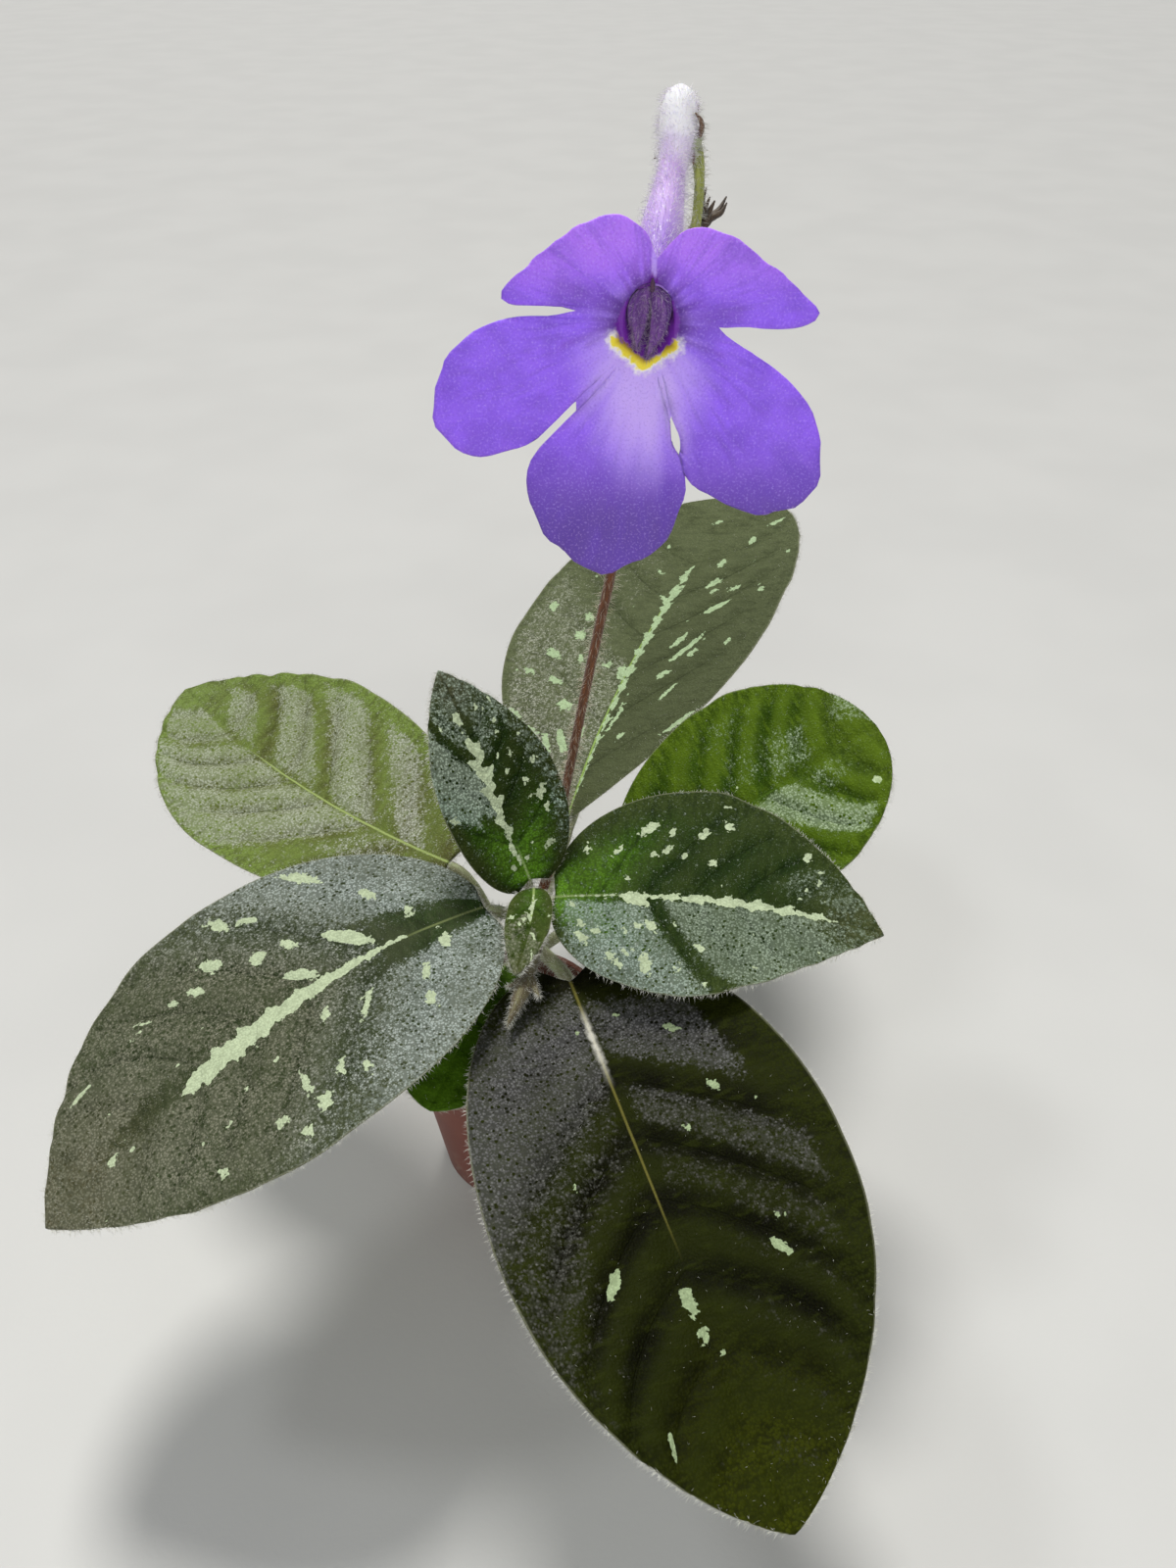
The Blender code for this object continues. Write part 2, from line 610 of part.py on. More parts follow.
def build_stamens():
    """Four anthers joined in the throat, on thin filaments down the tube."""
    across, up, out = limb_axes()
    material = make_material("anther_skin", (0.09, 0.025, 0.06, 1.0), 0.6)
    middle = THROAT - up * (0.5 * MM) - out * (0.9 * MM)
    pieces = []
    for x in (-0.85, 0.85):
        for y in (-1.5, 0.7):
            centre = middle + across * (x * MM) + up * (y * MM)
            pieces.append(add_object("anther", egg_mesh(centre, (up * -1.0), 4.2 * MM, 1.15 * MM, 0.3)))
    for x in (-0.7, 0.7):
        for y in (-0.5, 0.5):
            points = []
            for u in (0.26, 0.36, 0.48, 0.6, 0.72, 0.84):
                centre, side, rise, _ = tube_section(u)
                spread = 0.75 + 1.2 * max(u - 0.45, 0.0)
                height = y * spread - 1.2 * max(u - 0.6, 0.0)
                points.append(centre + side * (x * spread * MM) + rise * (height * MM))
            points.append(middle + across * (x * 1.1 * MM) + up * (y * 1.6 * MM))
            pieces.append(add_object("filament", tube_mesh(points, [0.24 * MM] * len(points), 6)))
    return fuse("stamens", pieces, material)


def build_pistil():
    """Ovary in the tube's foot, a long style and its stigma at the top of the throat."""
    up, out = limb_axes()[1:]
    material = make_material("pistil_skin", (0.05, 0.02, 0.03, 1.0), 0.5)
    points = []
    radii = []
    for u, radius in ((0.075, 0.5), (0.09, 0.9), (0.13, 1.3), (0.17, 1.1), (0.2, 0.5), (0.24, 0.24),
                      (0.36, 0.24), (0.5, 0.24), (0.64, 0.26)):
        points.append(tube_line(u) + tube_section(u)[2] * (1.3 * max(u - 0.45, 0.0) * MM))
        radii.append(radius * MM)
    points.append(tube_line(0.8) + tube_section(0.8)[2] * (1.8 * MM))
    radii.append(0.28 * MM)
    stigma = THROAT + up * (3.3 * MM) - out * (1.3 * MM)
    points += [stigma - out * (1.4 * MM), stigma, stigma + out * (0.5 * MM)]
    radii += [0.45 * MM, 0.7 * MM, 0.35 * MM]
    return add_object("pistil", tube_mesh(points, radii, 6), material)


def build_peduncle():
    """Long hairy flower stalk from the crown up to the node behind the flower."""
    root, stem_r = stem_point(96.5 * MM)
    out = Vector((0.45, 0.9, 0.0)).normalized()
    foot = root + out * (stem_r + NODE_SWELL + SEAT_GAP)
    lower = PEDUNCLE_KNEE
    points = [foot, foot + out * (0.5 * MM)]
    below = lower - Vector((1.6, -0.6, 10.0)) * MM
    points += bezier(points[1], foot + out * (8.0 * MM), below, lower, 6)[1:]
    reach = FLOWER_NODE - lower
    for t in (0.1, 0.22, 0.36, 0.5, 0.64, 0.78, 0.9, 0.97, 1.0):
        bow = math.sin(math.pi * t) * 0.8 * MM
        points.append(lower + reach * t + Vector((-bow, bow, 0.0)))
    radii = []
    for k in range(len(points)):
        radii.append((1.35 - 0.42 * k / (len(points) - 1)) * MM)
    radii[-2] = 1.25 * MM
    radii[-1] = 1.05 * MM
    return add_object("peduncle", tube_mesh(points, radii, 10),
                      make_material("peduncle_skin", (0.13, 0.055, 0.03, 1.0), 0.65))


def calyx_seat():
    """Centre of the calyx, behind and right of the spur, and its direction towards the tube."""
    centre, _, _, radius = tube_section(CALYX_PLACE)
    tangent = (tube_line(CALYX_PLACE + 0.01) - tube_line(CALYX_PLACE - 0.01)).normalized()
    away = Vector((0.62, 0.74, -0.26))
    away = (away - tangent * away.dot(tangent)).normalized()
    return centre + away * (radius + 0.5 * PETAL + SEAT_GAP), away


def build_pedicel():
    """Short green stalk from the node up to the back of the calyx."""
    seat, away = calyx_seat()
    way = (FLOWER_NODE - PEDUNCLE_KNEE).normalized()
    start = FLOWER_NODE + way * SEAT_GAP
    end = seat + away * (1.5 * MM + 2.0 * SEAT_GAP)
    points = bezier(start, start + way * (4.0 * MM), end + away * (4.0 * MM), end, 9)
    radii = [r * MM for r in (0.85, 0.8, 0.8, 0.8, 0.82, 0.88, 0.95, 1.05, 1.2)]
    return add_object("pedicel", tube_mesh(points, radii, 8),
                      make_material("pedicel_skin", (0.30, 0.33, 0.17, 1.0), 0.65))


def build_calyx():
    """Small cup of five narrow lobes that clasps the back of the spur."""
    seat, away = calyx_seat()
    material = make_material("calyx_skin", (0.16, 0.12, 0.06, 1.0), 0.7)
    pieces = [add_object("cup", tube_mesh([seat + away * (1.5 * MM), seat + away * (0.8 * MM), seat],
                                          [1.2 * MM, 1.9 * MM, 1.9 * MM], 10))]
    tangent = (tube_line(CALYX_PLACE + 0.01) - tube_line(CALYX_PLACE - 0.01)).normalized()
    across = tangent.cross(away).normalized()
    hug = tube_section(CALYX_PLACE)[3] + 0.5 * PETAL + 1.0 * MM
    for angle in (100.0, 172.0, 20.0, 245.0, 300.0):
        run = math.cos(math.radians(angle))
        turn = math.sin(math.radians(angle))
        points = [seat + away * (0.75 * MM) + (tangent * run + across * turn) * (1.0 * MM)]
        for reach in (2.4, 3.8, 5.2, 6.6):
            place = max(CALYX_PLACE + run * reach * MM / TUBE_LENGTH, 0.03)
            bend = turn * reach * MM / hug
            points.append(tube_line(place) + (away * math.cos(bend) + across * math.sin(bend)) * hug)
        radii = [r * MM for r in (0.5, 0.55, 0.5, 0.4, 0.18)]
        pieces.append(add_object("lobe", tube_mesh(points, radii, 6)))
    return fuse("calyx", pieces, material)


def build_withered_calyx():
    """Dried remains of an older flower beside the node."""
    material = make_material("withered_skin", (0.07, 0.045, 0.02, 1.0), 0.8)
    foot = FLOWER_NODE + Vector((1.55, 0.3, -0.1)) * MM
    aim = Vector((0.45, 0.25, 0.85)).normalized()
    side = aim.orthogonal().normalized()
    up = aim.cross(side)
    pieces = [add_object("stub", tube_mesh([foot, foot + aim * (1.2 * MM), foot + aim * (2.2 * MM)],
                                           [0.5 * MM, 0.95 * MM, 0.9 * MM], 8))]
    for k, (length, lean) in enumerate(((4.6, 0.32), (3.4, 0.55), (4.0, 0.5), (2.8, 0.75), (3.6, 0.4))):
        outward = around(side, up, k / 5)
        start = foot + aim * (1.4 * MM) + outward * (0.35 * MM)
        tip = start + aim * (length * MM) + outward * (lean * length * MM)
        bend = start.lerp(tip, 0.55) + outward * (0.5 * MM)
        shred = tube_mesh([start, bend, tip], [0.45 * MM, 0.42 * MM, 0.15 * MM], 5)
        pieces.append(add_object("shred", shred))
    return fuse("withered_calyx", pieces, material)


def build_young_bud():
    """Young flower stalk in front of the crown, with two bracts and a pointed bud."""
    material = make_material("bud_skin", (0.20, 0.16, 0.12, 1.0), 0.75)
    root, stem_r = stem_point(96.5 * MM)
    out = Vector((0.35, -0.93, 0.0)).normalized()
    foot = root + out * (stem_r + NODE_SWELL + SEAT_GAP)
    knee = Vector((11.0, -9.1, 99.5)) * MM
    node = Vector((7.9, -24.1, 98.6)) * MM
    tip = Vector((3.4, -39.5, 98.0)) * MM
    stalk = bezier(foot, foot + out * (3.0 * MM), knee + Vector((1.0, 3.5, 0.4)) * MM, knee, 4)
    stalk += [knee.lerp(node, 0.35), knee.lerp(node, 0.7), node]
    pieces = [add_object("stalk", tube_mesh(stalk, [1.2 * MM] * 5 + [1.25 * MM, 1.4 * MM], 8))]
    aim = (tip - node).normalized()
    bud = egg_mesh(node.lerp(tip, 0.5), aim, (tip - node).length, 1.9 * MM, 0.9, 8, 7)
    pieces.append(add_object("bud", bud))
    across = Vector((-aim.y, aim.x, 0.0))
    for turn, length in ((35.0, 8.5), (-30.0, 7.0)):
        way = around(Vector((aim.x, aim.y, 0.0)), across, turn / 360) + Vector((0.0, 0.0, 0.1))
        points = [node - aim * (0.4 * MM), node + way * (0.4 * length * MM),
                  node + way * (0.75 * length * MM), node + way * (length * MM) + Vector((0, 0, 0.8)) * MM]
        pieces.append(add_object("bract", tube_mesh(points, [0.9 * MM, 0.95 * MM, 0.6 * MM, 0.2 * MM], 6)))
    return fuse("young_bud", pieces, material)


def main():
    """Build the whole plant in its pot."""
    clear_scene()
    build_pot()
    build_soil()
    build_stem()
    for leaf in LEAVES:
        build_leaf(leaf)
    build_peduncle()
    build_pedicel()
    build_calyx()
    build_corolla()
    build_stamens()
    build_pistil()
    build_withered_calyx()
    build_young_bud()


main()
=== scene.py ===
"""Looks of the potted gesneriad: hairy leaves with silver and pale flecks, and one violet flower.

The frame is in metres, +Z up, with -Y the plant's front. Sizes in the dataclasses are millimetres
and degrees, a heading is counted from +X towards +Y, and MM turns millimetres into metres. A place
on a leaf is s, from 0 at its foot to 1 at its tip, and q, from -1 at its right margin to 1 at its left.
"""

import logging
import math
from dataclasses import dataclass
from enum import Enum
from functools import reduce
from typing import Optional, Sequence, Union

import bmesh
import bpy
import numpy as np
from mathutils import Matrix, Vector


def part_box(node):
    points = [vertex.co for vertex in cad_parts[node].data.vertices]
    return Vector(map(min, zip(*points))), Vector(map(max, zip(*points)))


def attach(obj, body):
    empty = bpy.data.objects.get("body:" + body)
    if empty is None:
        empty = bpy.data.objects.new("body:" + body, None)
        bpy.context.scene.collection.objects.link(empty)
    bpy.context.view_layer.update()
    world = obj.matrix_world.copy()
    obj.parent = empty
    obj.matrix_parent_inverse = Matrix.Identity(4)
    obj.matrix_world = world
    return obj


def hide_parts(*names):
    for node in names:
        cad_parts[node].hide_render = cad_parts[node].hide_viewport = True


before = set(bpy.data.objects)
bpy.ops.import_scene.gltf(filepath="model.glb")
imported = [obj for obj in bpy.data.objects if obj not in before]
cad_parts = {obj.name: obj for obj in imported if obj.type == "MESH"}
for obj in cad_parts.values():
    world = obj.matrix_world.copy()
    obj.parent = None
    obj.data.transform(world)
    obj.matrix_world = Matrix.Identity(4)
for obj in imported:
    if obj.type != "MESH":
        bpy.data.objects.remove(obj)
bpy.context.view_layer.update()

LOG = logging.getLogger("gesneriad")
MM = 0.001
BODY = "root"
FAR = 6.0
STRAND_STEP = 2.0
MERGE = 1e-6
TURN = 2 * math.pi

Array = np.ndarray
Piece = bpy.types.Object
Material = bpy.types.Material
Socket = bpy.types.NodeSocket
Sockets = bpy.types.bpy_prop_collection
Colour = tuple[float, float, float, float]
Triple = tuple[float, float, float]
Value = Union[float, Colour, Triple, Socket]


def srgb(red: float, green: float, blue: float) -> Colour:
    """Turn a colour as seen on screen, 0 to 255, into a shader's linear one."""
    parts = [part / 255.0 for part in (red, green, blue)]
    return (*(part / 12.92 if part <= 0.04045 else ((part + 0.055) / 1.055) ** 2.4 for part in parts), 1.0)


def soft_step(value: Array, low: float, high: float) -> Array:
    """Rise smoothly from 0 where the value is low to 1 where it is high."""
    share = np.clip((value - low) / (high - low), 0.0, 1.0)
    return share * share * (3.0 - 2.0 * share)


def smooth_line(points: Sequence, count: int) -> Array:
    """Read points from a smooth curve through others.

    Args:
        points: Points that the curve goes through.
        count: How many points to read.

    Returns:
        The read points, one a row.
    """
    knots = np.array(points, dtype=float)
    padded = np.vstack([2 * knots[0] - knots[1], knots, 2 * knots[-1] - knots[-2]])
    place = np.linspace(0.0, len(knots) - 1.0, count)
    index = np.minimum(place.astype(int), len(knots) - 2)
    t = (place - index)[:, None]
    a, b, c, d = (padded[index + shift] for shift in range(4))
    return 0.5 * (2 * b + (c - a) * t + (2 * a - 5 * b + 4 * c - d) * t ** 2
                  + (3 * b - a - 3 * c + d) * t ** 3)


def cubic(first: Vector, second: Vector, third: Vector, last: Vector, t: float) -> Vector:
    """Read a place from 0 to 1 on the curve between first and last, with the others as handles."""
    s = 1.0 - t
    return first * s ** 3 + second * (3 * s * s * t) + third * (3 * s * t * t) + last * t ** 3


def bezier(first: Vector, second: Vector, third: Vector, last: Vector, count: int) -> list[Vector]:
    """Read so many points, evenly spaced, from the same curve."""
    return [cubic(first, second, third, last, step / (count - 1)) for step in range(count)]


def unit(rows: Array) -> Array:
    """Scale each row of a table to length one."""
    return rows / np.maximum(np.linalg.norm(rows, axis=-1, keepdims=True), 1e-12)


class Cells(Enum):
    """What a field of cells gives at a place."""

    CENTRE = "F1"
    SEAM = "DISTANCE_TO_EDGE"


class Graph:
    """Node tree of one material, written as sums, and the colour that its coats build up."""

    def __init__(self, name: str) -> None:
        """Start a material.

        Args:
            name: The material's name.
        """
        self.material = bpy.data.materials.new(name)
        self.material.use_nodes = True
        self.tree = self.material.node_tree
        self.shader = self.tree.nodes["Principled BSDF"]
        self.colour: Value = (1.0, 1.0, 1.0, 1.0)

    def feed(self, socket: Socket, value: Value) -> None:
        """Set a socket to a value, or link another node's output to it.

        Args:
            socket: Input to fill.
            value: Number, colour or output.
        """
        if isinstance(value, Socket):
            self.tree.links.new(value, socket)
        else:
            socket.default_value = value

    def add(self, kind: str, inputs: dict[Union[int, str], Value], **settings: str) -> Sockets:
        """Add a node.

        Args:
            kind: Its kind.
            inputs: What to feed its inputs, by name or place.
            settings: Its settings, by name.

        Returns:
            Its outputs.
        """
        node = self.tree.nodes.new(kind)
        for name, setting in settings.items():
            setattr(node, name, setting)
        for place, value in inputs.items():
            self.feed(node.inputs[place], value)
        return node.outputs

    def math(self, operation: str, first: Value, second: Value = 0.0) -> Socket:
        """Work out one sum."""
        return self.add("ShaderNodeMath", {0: first, 1: second}, operation=operation)[0]

    def times(self, *factors: Value) -> Value:
        """Multiply numbers, in order."""
        return reduce(lambda first, second: self.math("MULTIPLY", first, second), factors)

    def plus(self, *terms: Value) -> Value:
        """Add numbers, in order."""
        return reduce(lambda first, second: self.math("ADD", first, second), terms)

    def minus(self, first: Value, second: Value) -> Socket:
        """Take the second number from the first."""
        return self.math("SUBTRACT", first, second)

    def sway(self, noise: Value, by: float) -> Socket:
        """Give how far a noise is over its middle, times a factor."""
        return self.times(self.minus(noise, 0.5), by)

    def length(self, across: Value, up: Value) -> Socket:
        """Give the length of the line with these two parts."""
        return self.math("SQRT", self.plus(self.times(across, across), self.times(up, up)))

    def fan(self, axes: Sockets, around: float, out: Value) -> Socket:
        """Bend a flat map round its middle, for marks that run out like rays."""
        turn = self.times(self.math("ARCTAN2", axes[1], axes[0]), around)
        return self.add("ShaderNodeCombineXYZ", {0: turn, 1: out})[0]

    def ease(self, value: Value, low: Value, high: Value) -> Socket:
        """Rise smoothly from 0 at low to 1 at high, or fall where low is over high."""
        return self.add("ShaderNodeMapRange", {"Value": value, "From Min": low, "From Max": high},
                        interpolation_type="SMOOTHSTEP")["Result"]

    def mix(self, share: Value, first: Value, second: Value) -> Socket:
        """Mix two colours, with the first alone at a share of 0 and the second alone at 1."""
        return self.add("ShaderNodeMix", {0: share, 6: first, 7: second}, data_type="RGBA")[2]

    def coat(self, over: Value, share: Value, most: Optional[float] = None) -> None:
        """Lay a colour over what the surface has, as far as its share times the most says."""
        self.colour = self.mix(share if most is None else self.times(share, most), self.colour, over)

    def stretch(self, place: Value, by: Triple) -> Socket:
        """Scale a place by a factor on each axis."""
        return self.add("ShaderNodeVectorMath", {0: place, 1: by}, operation="MULTIPLY")[0]

    def place(self) -> Socket:
        """Give the place on the piece in millimetres."""
        return self.stretch(self.add("ShaderNodeTexCoord", {})["Object"], (1 / MM, 1 / MM, 1 / MM))

    def flat(self) -> Socket:
        """Give the place on the piece's own flat map, in millimetres."""
        return self.add("ShaderNodeUVMap", {}, uv_map="flat")["UV"]

    def split(self, vector: Value) -> Sockets:
        """Part a vector into its X, Y and Z outputs."""
        return self.add("ShaderNodeSeparateXYZ", {0: vector})

    def read(self, name: str) -> Socket:
        """Read a number that the mesh holds at each vertex."""
        return self.add("ShaderNodeAttribute", {}, attribute_name=name)["Fac"]

    def noise(self, place: Value, size: float, detail: float = 2.0) -> Socket:
        """Make cloudy noise around 0.5, its clouds so wide in the place's own units."""
        return self.add("ShaderNodeTexNoise",
                        {"Vector": place, "Scale": 1.0 / size, "Detail": detail})["Fac"]

    def cells(self, place: Value, size: float, cells: Cells = Cells.CENTRE) -> list[Socket]:
        """Make a field of irregular cells.

        Args:
            place: Where to read it.
            size: Spacing of the cells in the place's own units.
            cells: What to measure from.

        Returns:
            Distance in cell widths and, from the centre, a random number for each cell.
        """
        made = self.add("ShaderNodeTexVoronoi", {"Vector": place, "Scale": 1.0 / size}, feature=cells.value)
        if cells is Cells.SEAM:
            return [made["Distance"]]
        return [made["Distance"], self.add("ShaderNodeSeparateColor", {0: made["Color"]})[0]]

    def bump(self, height: Value, depth: float) -> Socket:
        """Tilt the surface as by a relief from 0 to 1 that is so many millimetres high."""
        return self.add("ShaderNodeBump",
                        {"Strength": 1.0, "Distance": depth * MM, "Height": height})["Normal"]

    def finish(self, roughness: Value, normal: Optional[Socket] = None, sheen: float = 0.0,
               specular: float = 0.5, scatter: float = 0.0) -> None:
        """Set the shader, in the colour that the coats have built up.

        Args:
            roughness: Roughness.
            normal: Bumped normal.
            sheen: Strength of the soft sheen of short hairs.
            specular: Specular level.
            scatter: Share of light that passes under the surface.
        """
        values = {"Base Color": self.colour, "Roughness": roughness, "Sheen Weight": sheen,
                  "Sheen Roughness": 0.5, "Specular IOR Level": specular, "Subsurface Weight": scatter,
                  "Subsurface Radius": (1.0, 0.9, 0.6), "Subsurface Scale": 0.8 * MM}
        for name, value in values.items():
            self.feed(self.shader.inputs[name], value)
        if normal is not None:
            self.feed(self.shader.inputs["Normal"], normal)


class Finish:
    """Finish of a surface."""

    def make(self, name: str) -> Material:
        """Make a material of the finish.

        Args:
            name: The material's name.

        Returns:
            The material.
        """
        g = Graph(name)
        self.paint(g)
        return g.material

    def paint(self, g: Graph) -> None:
        """Paint the finish; each kind of finish has its own way."""
        raise NotImplementedError


@dataclass(frozen=True)
class LeafSkin(Finish):
    """Upper side of a leaf: a pebbled green, silver between the veins that is partly its own marking and
    partly painted glare, pale flecks, and painted shade and highlights on its relief.
    """

    deep: Colour
    rim: Colour
    heel: Colour
    tip: Colour
    silver: Colour
    far: Colour
    pale: Colour
    rib: Colour
    rib_reach: float
    heel_reach: float = 0.22
    veins: int = 8
    spacing: float = 15.0
    pebble: float = 0.6
    glint: float = 0.2
    pebble_highlight_share: float = 0.1
    painted_glint: float = 0.18
    rough: float = 1.1
    painted_vein_shade: float = 0.4
    painted_ridge_light: float = 0.25
    painted_half_shade: float = 0.0
    painted_gleam: float = 0.0

    def paint(self, g: Graph) -> None:
        """Paint the finish.

        Args:
            g: Graph to paint it on.
        """
        flat = g.flat()
        run = g.read("run")
        across = g.read("across")
        edge = g.math("ABSOLUTE", across)
        clouds = g.noise(flat, 12.0)
        mottle = g.noise(flat, 2.2, 3.0)
        grain = g.noise(flat, 0.35, 3.0)
        crinkle = g.noise(g.stretch(flat, (0.5, 1.3, 1.0)), 2.6, 2.0)
        pebble, chance = g.cells(flat, self.pebble)
        spot, luck = g.cells(flat, self.pebble * 2.2)
        # Darker tone of the leaf: the random mottle uses it, and it is also the painted shade in the pebble
        # gaps, crinkle valleys, vein valleys and the shaded right half.
        dark_tone_and_shade = g.mix(0.55, self.deep, srgb(10, 12, 4))
        g.colour = g.mix(g.ease(clouds, 0.35, 0.7), self.deep, g.mix(0.4, self.deep, self.rim))
        g.coat(self.rim, g.ease(edge, 0.6, 0.99), 0.8)
        g.coat(self.tip, g.ease(run, 0.62, 1.0))
        g.coat(self.heel, g.times(g.ease(run, self.heel_reach, 0.02), g.ease(edge, 0.9, 0.25)))
        # Painted shade in the gaps between the pebbles.
        g.coat(dark_tone_and_shade, g.ease(pebble, 0.4, 0.7), 0.45)
        g.coat(self.rim, g.ease(grain, 0.48, 0.72), 0.45)
        g.coat(dark_tone_and_shade, g.ease(mottle, 0.5, 0.68), 0.3)
        # Painted shade in the crinkle valleys and painted highlight on the crinkle crests.
        g.coat(dark_tone_and_shade, g.ease(crinkle, 0.5, 0.36), 0.4)
        g.coat(self.rim, g.ease(crinkle, 0.54, 0.68), self.painted_ridge_light)
        # Painted highlight on the quilted crests between the side veins.
        phase = g.math("FRACT", g.plus(g.times(run, float(self.veins)), 0.5))
        beyond = g.math("ABSOLUTE", g.minus(phase, 0.5))
        g.coat(self.rim, g.times(g.ease(beyond, 0.1, 0.42), g.ease(edge, 1.0, 0.75)), self.painted_ridge_light)
        # Painted shade: the right half near the foot darker, as a side turned away from the light.
        g.coat(dark_tone_and_shade, g.times(g.ease(across, 0.06, -0.06), g.ease(run, 0.8, 0.2)), self.painted_half_shade)
        off = g.plus(g.times(beyond, self.spacing), g.sway(mottle, 0.9))
        vein = g.times(g.ease(off, 0.8, 0.1), g.ease(edge, 0.95, 0.5), g.ease(run, 0.9, 0.6))
        # Painted shade in the sunk vein valleys.
        g.coat(dark_tone_and_shade, vein, self.painted_vein_shade)
        # Silver mask: partly the leaf's own silver marking, partly painted glare of the light from behind;
        # the pebble-top factor keeps most of it on the pebble tops, where that glare falls.
        wish = g.plus(g.read("silver"), g.sway(mottle, 0.9), g.sway(chance, 0.45),
                      g.sway(grain, self.rough))
        tops = g.plus(0.36, g.times(g.ease(pebble, 0.58, 0.3), 0.64))
        dark_dot = g.times(g.ease(spot, 0.36, 0.24), g.ease(luck, 0.35, 0.45))
        silver = g.times(g.ease(wish, 0.28, 0.72), tops, g.minus(1.0, dark_dot))
        silver_and_glare = g.mix(g.ease(run, 0.1, 0.4), self.silver, self.far)
        silver_and_glare = g.mix(g.times(g.ease(clouds, 0.35, 0.7), 0.35), silver_and_glare, self.deep)
        # Painted glints: whitish specks in the silver near the foot.
        painted_glint = g.times(g.ease(chance, 0.75, 0.95), g.ease(run, 0.5, 0.2))
        silver_and_glare = g.mix(g.times(painted_glint, self.painted_glint), silver_and_glare, srgb(206, 208, 202))
        g.coat(silver_and_glare, silver, 0.92)
        # Painted highlights on the tops of pebbles outside the silver.
        pebble_highlight = g.times(g.ease(pebble, 0.3, 0.12), g.ease(chance, 0.6, 0.4), g.minus(1.0, silver))
        g.coat(self.silver, pebble_highlight, self.pebble_highlight_share)
        beside = g.math("ABSOLUTE", g.split(flat)[0])
        narrow = g.ease(beside, g.minus(0.65, g.times(run, 0.55)), 0.1)
        g.coat(self.rib, g.times(narrow, g.ease(run, self.rib_reach, self.rib_reach - 0.15)))
        # Painted highlight: a whitish streak beside the midrib near the foot.
        midrib_highlight = g.times(g.ease(g.plus(beside, g.times(mottle, 2.0)), 2.4, 1.0),
                        g.times(g.ease(run, 0.06, 0.14), g.ease(run, 0.28, 0.17)))
        g.coat(srgb(222, 220, 208), midrib_highlight, self.painted_gleam)
        shore = g.plus(g.read("pale"), g.sway(g.noise(flat, 1.3, 2.0), 2.6))
        bright = g.mix(g.ease(mottle, 0.3, 0.7), self.pale, g.mix(0.18, self.pale, self.rim))
        bright = g.mix(g.times(g.ease(pebble, 0.4, 0.7), 0.25), bright, self.rim)
        g.coat(bright, g.ease(shore, -0.06, -0.24))
        g.coat(srgb(176, 178, 150), g.ease(edge, 0.985, 1.0), 0.3)
        height = g.plus(g.ease(pebble, 0.75, 0.0), g.times(grain, 0.4), g.times(crinkle, 2.6))
        height = g.minus(height, g.times(vein, 1.2))
        roughness = g.minus(0.62, g.times(silver, self.glint))
        g.finish(roughness, g.bump(height, 0.13), specular=0.04)


@dataclass(frozen=True)
class LeafUnder(Finish):
    """Underside of a leaf: paler, with a raised net of veins."""

    colour: Colour
    vein: Colour

    def paint(self, g: Graph) -> None:
        """Paint the finish.

        Args:
            g: Graph to paint it on.
        """
        flat = g.flat()
        clouds = g.noise(flat, 8.0)
        net = g.ease(g.cells(flat, 4.2, Cells.SEAM)[0], 0.12, 0.0)
        felt = g.noise(flat, 0.35, 2.0)
        g.colour = g.mix(g.ease(clouds, 0.3, 0.7), self.colour, g.mix(0.3, self.colour, self.vein))
        g.coat(self.vein, net, 0.4)
        g.coat(srgb(190, 190, 165), g.ease(felt, 0.55, 0.8))
        height = g.plus(net, g.times(felt, 0.6))
        g.finish(0.7, g.bump(height, 0.2), sheen=0.25)


@dataclass(frozen=True)
class StalkSkin(Finish):
    """Skin of a stalk: streaked along its length and felted."""

    colour: Colour
    streak: Colour
    felt: Colour
    felted: float = 0.5

    def paint(self, g: Graph) -> None:
        """Paint the finish.

        Args:
            g: Graph to paint it on.
        """
        place = g.place()
        flat = g.flat()
        streaks = g.noise(g.stretch(flat, (1.0, 0.12, 1.0)), 0.7, 3.0)
        patches = g.noise(place, 6.0)
        felt = g.noise(place, 0.28, 2.0)
        g.colour = g.mix(g.ease(streaks, 0.38, 0.62), self.colour, self.streak)
        g.coat(self.streak, g.ease(patches, 0.4, 0.7), 0.4)
        g.coat(self.felt, g.ease(felt, 0.5, 0.72), self.felted)
        height = g.plus(felt, g.times(streaks, 0.8))
        g.finish(0.62, g.bump(height, 0.14), sheen=0.2)


@dataclass(frozen=True)
class HairSkin(Finish):
    """Fine plant hair: near white, a little darker here and there."""

    colour: Colour
    shade: Colour

    def paint(self, g: Graph) -> None:
        """Paint the finish."""
        g.colour = g.mix(g.ease(g.noise(g.place(), 3.0), 0.35, 0.65), self.colour, self.shade)
        g.finish(0.45, sheen=0.3)


